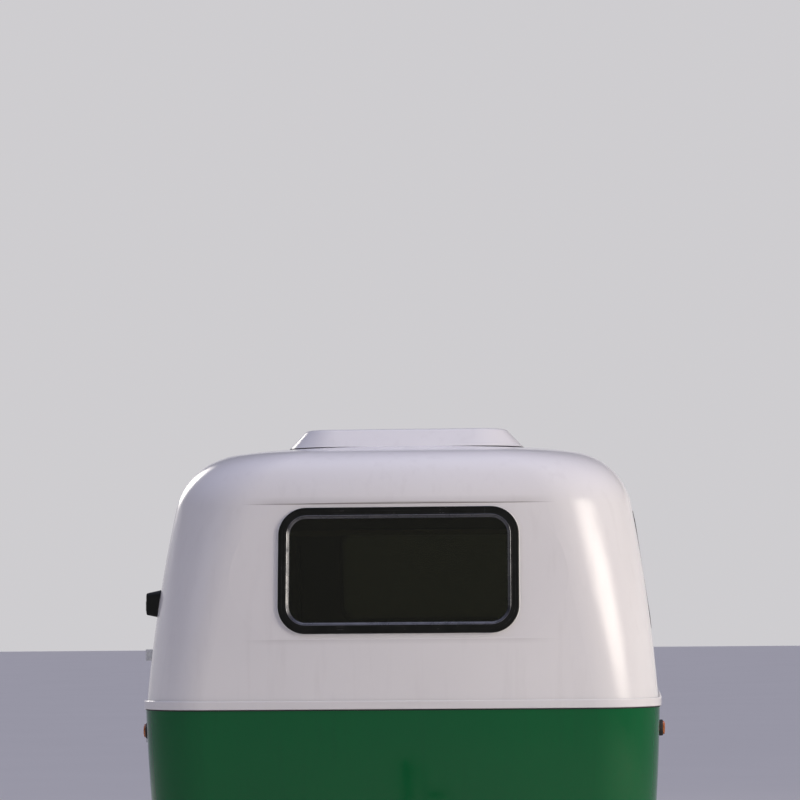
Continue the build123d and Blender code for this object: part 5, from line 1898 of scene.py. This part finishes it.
@dataclass
class RoofVent:
    """The roof vent's moulded ribs, sealant and insect screen.

    Attributes:
        half_base: Half the side of the square that the sealant follows.
        half_opening: Half the side of the screen.
        look_from: Height where the rays down to the lid and roof start.
        ribs: X of each rib on the lid.
    """

    middle: Flat = (0.0, 1.030)
    half_base: float = 0.2165
    base_corner: float = 0.022
    half_opening: float = 0.177
    look_from: float = 2.6
    screen_height: float = 2.198
    wires: int = 46
    wire_radius: float = 0.0005
    ribs: Sequence[float] = (-0.126, -0.063, 0.0, 0.063, 0.126)
    rib_half_width: float = 0.006
    rib_half_length: float = 0.150
    sealant_radius: float = 0.0034
    sealant_spacing: float = 0.015

    def build(self, finishes: Finishes, trees: Trees) -> None:
        """Makes the ribs, sealant and screen.

        Args:
            finishes: The trailer's finishes.
            trees: The Geometry Nodes trees.
        """
        self.lid_ribs(finishes)
        self.sealant(finishes, trees)
        self.screen(finishes, trees)

    def below(self, skin: Skin, x: float, y: float) -> Optional[Vector]:
        """The point of a surface straight under a place over the vent, or nothing."""
        hit = skin.drop(Vector((x, y, self.look_from)), -UPWARDS)
        return hit[0] if hit else None

    def lid_ribs(self, finishes: Finishes) -> None:
        """Low ribs along the lid's top.

        Args:
            finishes: The trailer's finishes.
        """
        lid = Skin("roof_vent_lid")
        shape = Shape()
        layers = ((0.0, -0.001), (0.0, 0.0006), (0.0025, 0.0026))
        for x in self.ribs:
            top = self.below(lid, x, self.middle[1])
            if top is not None:
                station = Station(top, LEFTWARDS, REARWARDS, UPWARDS)
                shape.plate(station, self.rib_half_width, self.rib_half_length, 0.0058, layers)
        piece("vent_lid_ribs", shape, finishes.vent, Body.VENT_LID)

    def sealant(self, finishes: Finishes, trees: Trees) -> None:
        """The bead of sealant round the vent's base.

        Args:
            finishes: The trailer's finishes.
            trees: The Geometry Nodes trees.
        """
        roof = Skin("upper_shell")
        path = walk(self.half_base, self.half_base, self.base_corner, self.sealant_spacing)
        ring = [self.below(roof, self.middle[0] + x, self.middle[1] + y) for (x, y), _ in path]
        found = [point for point in ring if point is not None]
        radius, finish = self.sealant_radius, finishes.sealant
        mesh = trees.bead.run(lines([found], True), Radius=radius, Sides=8, Finish=finish)
        settle("vent_sealant", mesh, Body.TRAILER)

    def screen(self, finishes: Finishes, trees: Trees) -> None:
        """The insect screen's two layers of wires.

        Args:
            finishes: The trailer's finishes.
            trees: The Geometry Nodes trees.
        """
        half = self.half_opening
        x, y, z = *self.middle, self.screen_height
        paths = []
        for wire in range(self.wires):
            place = -half + 2 * half * (wire + 0.5) / self.wires
            paths.append([Vector((x + place, y - half, z)), Vector((x + place, y + half, z))])
            paths.append([Vector((x - half, y + place, z)), Vector((x + half, y + place, z))])
        mesh = trees.bead.run(lines(paths), Radius=self.wire_radius, Sides=4, Finish=finishes.liner)
        settle("vent_screen", mesh, Body.TRAILER)


@dataclass
class Undergear:
    """Welds on the drawbar, rubber round the wheel arches, and the jack's grip and cap.

    Attributes:
        header_y: Y of the header's face that the drawbar meets.
        weld_x: X of the left welds, and weld_z is the height of their ends.
        arch_radius: Radius of the rubber round the axle. It starts at arch_from and turns by arch_sweep, in
            degrees.
        beside: X where the rays to the flares start.
        grip_end: Left end of the grip, and jack_top is the top of the jack's head.
    """

    header_y: float = -0.667
    weld_stand_off: float = 0.001
    weld_radius: float = 0.0034
    weld_steps: int = 8
    weld_x: Sequence[float] = (0.5705, 0.6266)
    weld_z: Flat = (0.328, 0.397)
    arch_radius: float = 0.3965
    arch_from: float = 17.0
    arch_sweep: float = 146.0
    arch_steps: int = 75
    beside: float = 1.4
    rubber_radius: float = 0.004
    grip_end: Point = (0.156, -1.6833, 0.620)
    grip_long: float = 0.078
    grip_radius: float = 0.0155
    groove_radius: float = 0.0146
    grooves: int = 9
    groove_pitch: float = 0.0078
    jack_top: Point = (0.0, -1.6833, 0.780)

    def build(self, finishes: Finishes, trees: Trees) -> None:
        """Makes the welds, arch rubber, grip and cap.

        Args:
            finishes: The trailer's finishes.
            trees: The Geometry Nodes trees.
        """
        self.welds(finishes, trees)
        self.arch_rubber(finishes, trees)
        self.grip(finishes)

    def welds(self, finishes: Finishes, trees: Trees) -> None:
        """Upright weld beads where the drawbar tubes meet the header.

        Args:
            finishes: The trailer's finishes.
            trees: The Geometry Nodes trees.
        """
        y, (low, high) = self.header_y - self.weld_stand_off, self.weld_z
        heights = [low + (high - low) * step / self.weld_steps for step in range(self.weld_steps + 1)]
        welds = [[Vector((side * x, y, z)) for z in heights] for x in self.weld_x for side in (-1, 1)]
        mesh = trees.bead.run(lines(welds), Radius=self.weld_radius, Sides=8, Finish=finishes.chassis)
        settle("drawbar_welds", mesh, Body.TRAILER)

    def arch_rubber(self, finishes: Finishes, trees: Trees) -> None:
        """A rubber edge along each wheel arch.

        Args:
            finishes: The trailer's finishes.
            trees: The Geometry Nodes trees.
        """
        flare = Skin("arch_flares")
        for side, name in SIDES:
            path = []
            for step in range(self.arch_steps + 1):
                turn = math.radians(self.arch_from + self.arch_sweep * step / self.arch_steps)
                y = AXLE[0] + self.arch_radius * math.cos(turn)
                z = AXLE[1] + self.arch_radius * math.sin(turn)
                hit = flare.drop(Vector((side * self.beside, y, z)), LEFTWARDS * -side)
                if hit is not None:
                    path.append(hit[0])
            mesh = trees.bead.run(lines([path]), Radius=self.rubber_radius, Sides=10, Finish=finishes.seal)
            settle(f"arch_rubber_{name}", mesh, Body.TRAILER)

    def grip(self, finishes: Finishes) -> None:
        """The ribbed rubber grip on the crank and the cap on the jack's head.

        Args:
            finishes: The trailer's finishes.
        """
        wide, narrow, long = self.grip_radius, self.groove_radius, self.grip_long
        profile = [(0.0, 0.0), (0.0130, 0.0), (wide, 0.003)]
        for groove in range(self.grooves):
            start = 0.006 + groove * self.groove_pitch
            profile += [(wide, start), (narrow, start + 0.0015)]
            profile += [(narrow, start + 0.0030), (wide, start + 0.0045)]
        profile += [(0.0170, long - 0.004), (0.0165, long), (0.0, long)]
        shape = Shape().turn(profile, Vector(self.grip_end), -LEFTWARDS, 28)
        piece("jack_grip", shape, finishes.seal, Body.TRAILER)
        cap = ((0.0, -0.002), (0.0270, -0.002), (0.0270, 0.003), (0.0230, 0.0065), (0.0, 0.0078))
        shape = Shape().turn(cap, Vector(self.jack_top), UPWARDS, 36)
        piece("jack_cap", shape, finishes.seal, Body.TRAILER)


@dataclass
class FloorBoard:
    """The cabin's floor covering, between the side walls and the wheel wells."""

    height: float = 0.446
    thickness: float = 0.016
    front: float = -0.93
    rear: float = 1.84
    step: float = 0.02
    edge_room: float = 0.003

    def build(self, finishes: Finishes) -> None:
        """Makes the board from the cabin's width at each step of its length.

        Args:
            finishes: The trailer's finishes.
        """
        skin = Skin("lower_shell", "wheel_wells", "door_lower", "hatch_lower")
        count = round((self.rear - self.front) / self.step)
        low, high = self.height - self.thickness, self.height
        rings = []
        for k in range(count + 1):
            y = self.front + self.step * k
            edges = []
            for side in (-1, 1):
                hit = skin.drop(Vector((0, y, self.height)), LEFTWARDS * side)
                edges.append(hit[0].x - side * self.edge_room if hit else 0.0)
            right, left = edges
            corners = ((right, low), (left, low), (left, high), (right, high))
            rings.append([Vector((x, y, z)) for x, z in corners])
        piece("floor_board", Shape().skin(rings), finishes.vinyl, Body.TRAILER, 20.0)


class Trailer:
    """The whole trailer's dressing, built part by part."""

    def __init__(self, finishes: Finishes, trees: Trees) -> None:
        """Keeps the finishes and trees.

        Args:
            finishes: The trailer's finishes.
            trees: The Geometry Nodes trees.
        """
        self.finishes = finishes
        self.trees = trees

    def build(self) -> None:
        """Builds every sub-assembly in order."""
        finishes, trees = self.finishes, self.trees
        finishes.dress_nodes()
        for name in ("front", "left", "right"):
            Window(name, Body.TRAILER).build(finishes)
        Window("door", Body.DOOR).build(finishes)
        Window("rear", Body.HATCH).build(finishes)
        BlindRail().build(finishes)
        BeltSealant().build(finishes, trees)
        door = Opening(
            "door",
            ("door_upper", "door_lower"),
            across_axis=1,
            middle=(-0.243, 1.1975),
            half_width=0.315,
            half_height=0.6975,
            corner=0.095,
            look_from=-0.5,
            outward=-1,
            reach=0.014,
        )
        hatch = Opening(
            "hatch",
            ("hatch_upper", "hatch_lower"),
            across_axis=0,
            middle=(0.0, 1.2575),
            half_width=0.650,
            half_height=0.6975,
            corner=0.130,
            look_from=1.2,
            outward=1,
            reach=0.008,
        )
        door.build(finishes, trees)
        hatch.build(finishes, trees)
        Fixings().build(finishes, trees)
        Fittings().build(finishes)
        Wheel("left", 1, Body.WHEEL_LEFT).build(finishes, trees)
        Wheel("right", -1, Body.WHEEL_RIGHT).build(finishes, trees)
        RoofVent().build(finishes, trees)
        Undergear().build(finishes, trees)
        FloorBoard().build(finishes)


@dataclass
class Studio:
    """Pale floor, soft lamps, surroundings for the reflections, and the camera.

    Attributes:
        place: Where the camera stands; yaw, pitch and roll are its angles in degrees.
        focal_pixels: Its focal length, in pixels of a frame that is frame_pixels wide.
        surroundings: Colour at each height of the sky, from 0 at the horizon and below to 1 overhead.
        full_share: How far from a lamp's middle its light is at its full strength, middle_strength.
        lamps: For each lamp, its name, place, target, size, power in watts and colour.
    """

    place: Point = (0.7436, -13.9347, 1.5466)
    yaw: float = -3.233
    pitch: float = 3.318
    roll: float = -0.48
    focal_pixels: float = 3411.3
    frame_pixels: float = 800.0
    sensor: float = 36.0
    seen_to: float = 300.0
    floor_reach: float = 90.0
    surroundings: Sequence[tuple[float, Colour]] = (
        (0.0, (0.62, 0.61, 0.63)),
        (0.18, (0.62, 0.61, 0.63)),
        (0.26, (0.10, 0.10, 0.11)),
        (0.50, (0.15, 0.15, 0.20)),
        (0.75, (0.46, 0.47, 0.64)),
        (1.0, (0.62, 0.64, 0.88)),
    )
    full_share: float = 0.08
    middle_strength: float = 3.5
    lamps: Sequence[tuple[str, Point, Point, float, float, Colour]] = (
        ("key", (4.9, -3.6, 3.7), (0.7, -0.7, 1.4), 4.8, 185.0, (1.0, 0.92, 0.82)),
        ("fill", (-6.5, -5.0, 4.5), (0.0, -0.5, 1.3), 5.0, 10.0, (0.74, 0.78, 1.0)),
        ("overhead", (0.0, 0.6, 7.0), (0.0, 0.5, 1.0), 6.0, 30.0, (0.80, 0.82, 1.0)),
        ("back", (-4.5, 7.0, 4.5), (0.0, 1.6, 1.2), 4.0, 120.0, (1.0, 0.95, 0.88)),
    )

    def build(self) -> None:
        """Makes the floor, world, lamps and camera."""
        self.floor()
        self.world()
        for lamp in self.lamps:
            self.lamp(*lamp)
        self.camera()
        bpy.context.scene.view_settings.view_transform = "Standard"

    def floor(self) -> None:
        """A wide pale floor."""
        mesh = bpy.data.meshes.new("studio_floor")
        r = self.floor_reach
        mesh.from_pydata([(-r, -r, 0), (r, -r, 0), (r, r, 0), (-r, r, 0)], [], [(0, 1, 2, 3)])
        mesh.materials.append(StudioFloor().make())
        add_object("studio_floor", mesh)

    def world(self) -> None:
        """Surroundings: pale at the horizon, darker above it and bright overhead."""
        world = bpy.data.worlds.new("studio")
        world.use_nodes = True
        tree = world.node_tree
        places = tree.nodes.new("ShaderNodeTexCoord")
        split = tree.nodes.new("ShaderNodeSeparateXYZ")
        ramp = tree.nodes.new("ShaderNodeValToRGB")
        tree.links.new(places.outputs["Generated"], split.inputs[0])
        tree.links.new(split.outputs["Z"], ramp.inputs["Fac"])
        first, *between, last = self.surroundings
        elements = ramp.color_ramp.elements
        elements[0].position, elements[1].position = first[0], last[0]
        elements[0].color, elements[1].color = (*first[1], 1), (*last[1], 1)
        for place, colour in between:
            elements.new(place).color = (*colour, 1)
        background = tree.nodes["Background"]
        background.inputs["Strength"].default_value = 1.0
        tree.links.new(ramp.outputs["Color"], background.inputs["Color"])
        bpy.context.scene.world = world

    def lamp(self, name: str, place: Point, target: Point, size: float, power: float, colour: Colour) -> None:
        """One square soft lamp.

        Args:
            name: Name of the lamp.
            place: Where it hangs.
            target: What it points at.
            size: Side of the square.
            power: Watts.
            colour: Its light.
        """
        data = bpy.data.lights.new(name, "AREA")
        data.size, data.energy, data.color = size, power, colour
        self.soften(data)
        lamp = add_object(name, data)
        lamp.location = place
        lamp.rotation_euler = (Vector(target) - Vector(place)).to_track_quat("-Z", "Y").to_euler()

    def soften(self, data: bpy.types.Light) -> None:
        """Fades a lamp from its middle to its edge, so that its reflection has no hard outline.

        Args:
            data: The lamp's light.
        """
        data.use_nodes = True
        tree = data.node_tree
        place = tree.nodes.new("ShaderNodeNewGeometry")
        away = tree.nodes.new("ShaderNodeVectorMath")
        away.operation = "DISTANCE"
        half = 0.5
        away.inputs[1].default_value = (half, half, 0.0)
        fade = tree.nodes.new("ShaderNodeMapRange")
        fade.interpolation_type = "SMOOTHSTEP"
        fade.inputs["From Min"].default_value = half
        fade.inputs["From Max"].default_value = self.full_share
        fade.inputs["To Max"].default_value = self.middle_strength
        tree.links.new(place.outputs["Parametric"], away.inputs[0])
        tree.links.new(away.outputs["Value"], fade.inputs["Value"])
        tree.links.new(fade.outputs["Result"], tree.nodes["Emission"].inputs["Strength"])

    def camera(self) -> None:
        """The camera at the photograph's angle."""
        data = bpy.data.cameras.new("camera")
        data.sensor_width = self.sensor
        data.lens = self.focal_pixels / self.frame_pixels * self.sensor
        data.clip_end = self.seen_to
        camera = add_object("camera", data)
        turn = Matrix.Rotation(-math.radians(self.yaw), 4, "Z")
        tilt = Matrix.Rotation(math.radians(90 + self.pitch), 4, "X")
        lean = Matrix.Rotation(math.radians(self.roll), 4, "Z")
        camera.matrix_world = Matrix.Translation(self.place) @ turn @ tilt @ lean
        bpy.context.scene.camera = camera


def main() -> None:
    """Builds the studio, then dresses the trailer part by part."""
    logging.basicConfig(level=logging.INFO, format="%(name)s: %(message)s")
    Studio().build()
    Trailer(Finishes(), Trees()).build()
    log.info("dressed %d packed nodes", len(frame["nodes"]))


if __name__ == "__main__":
    main()
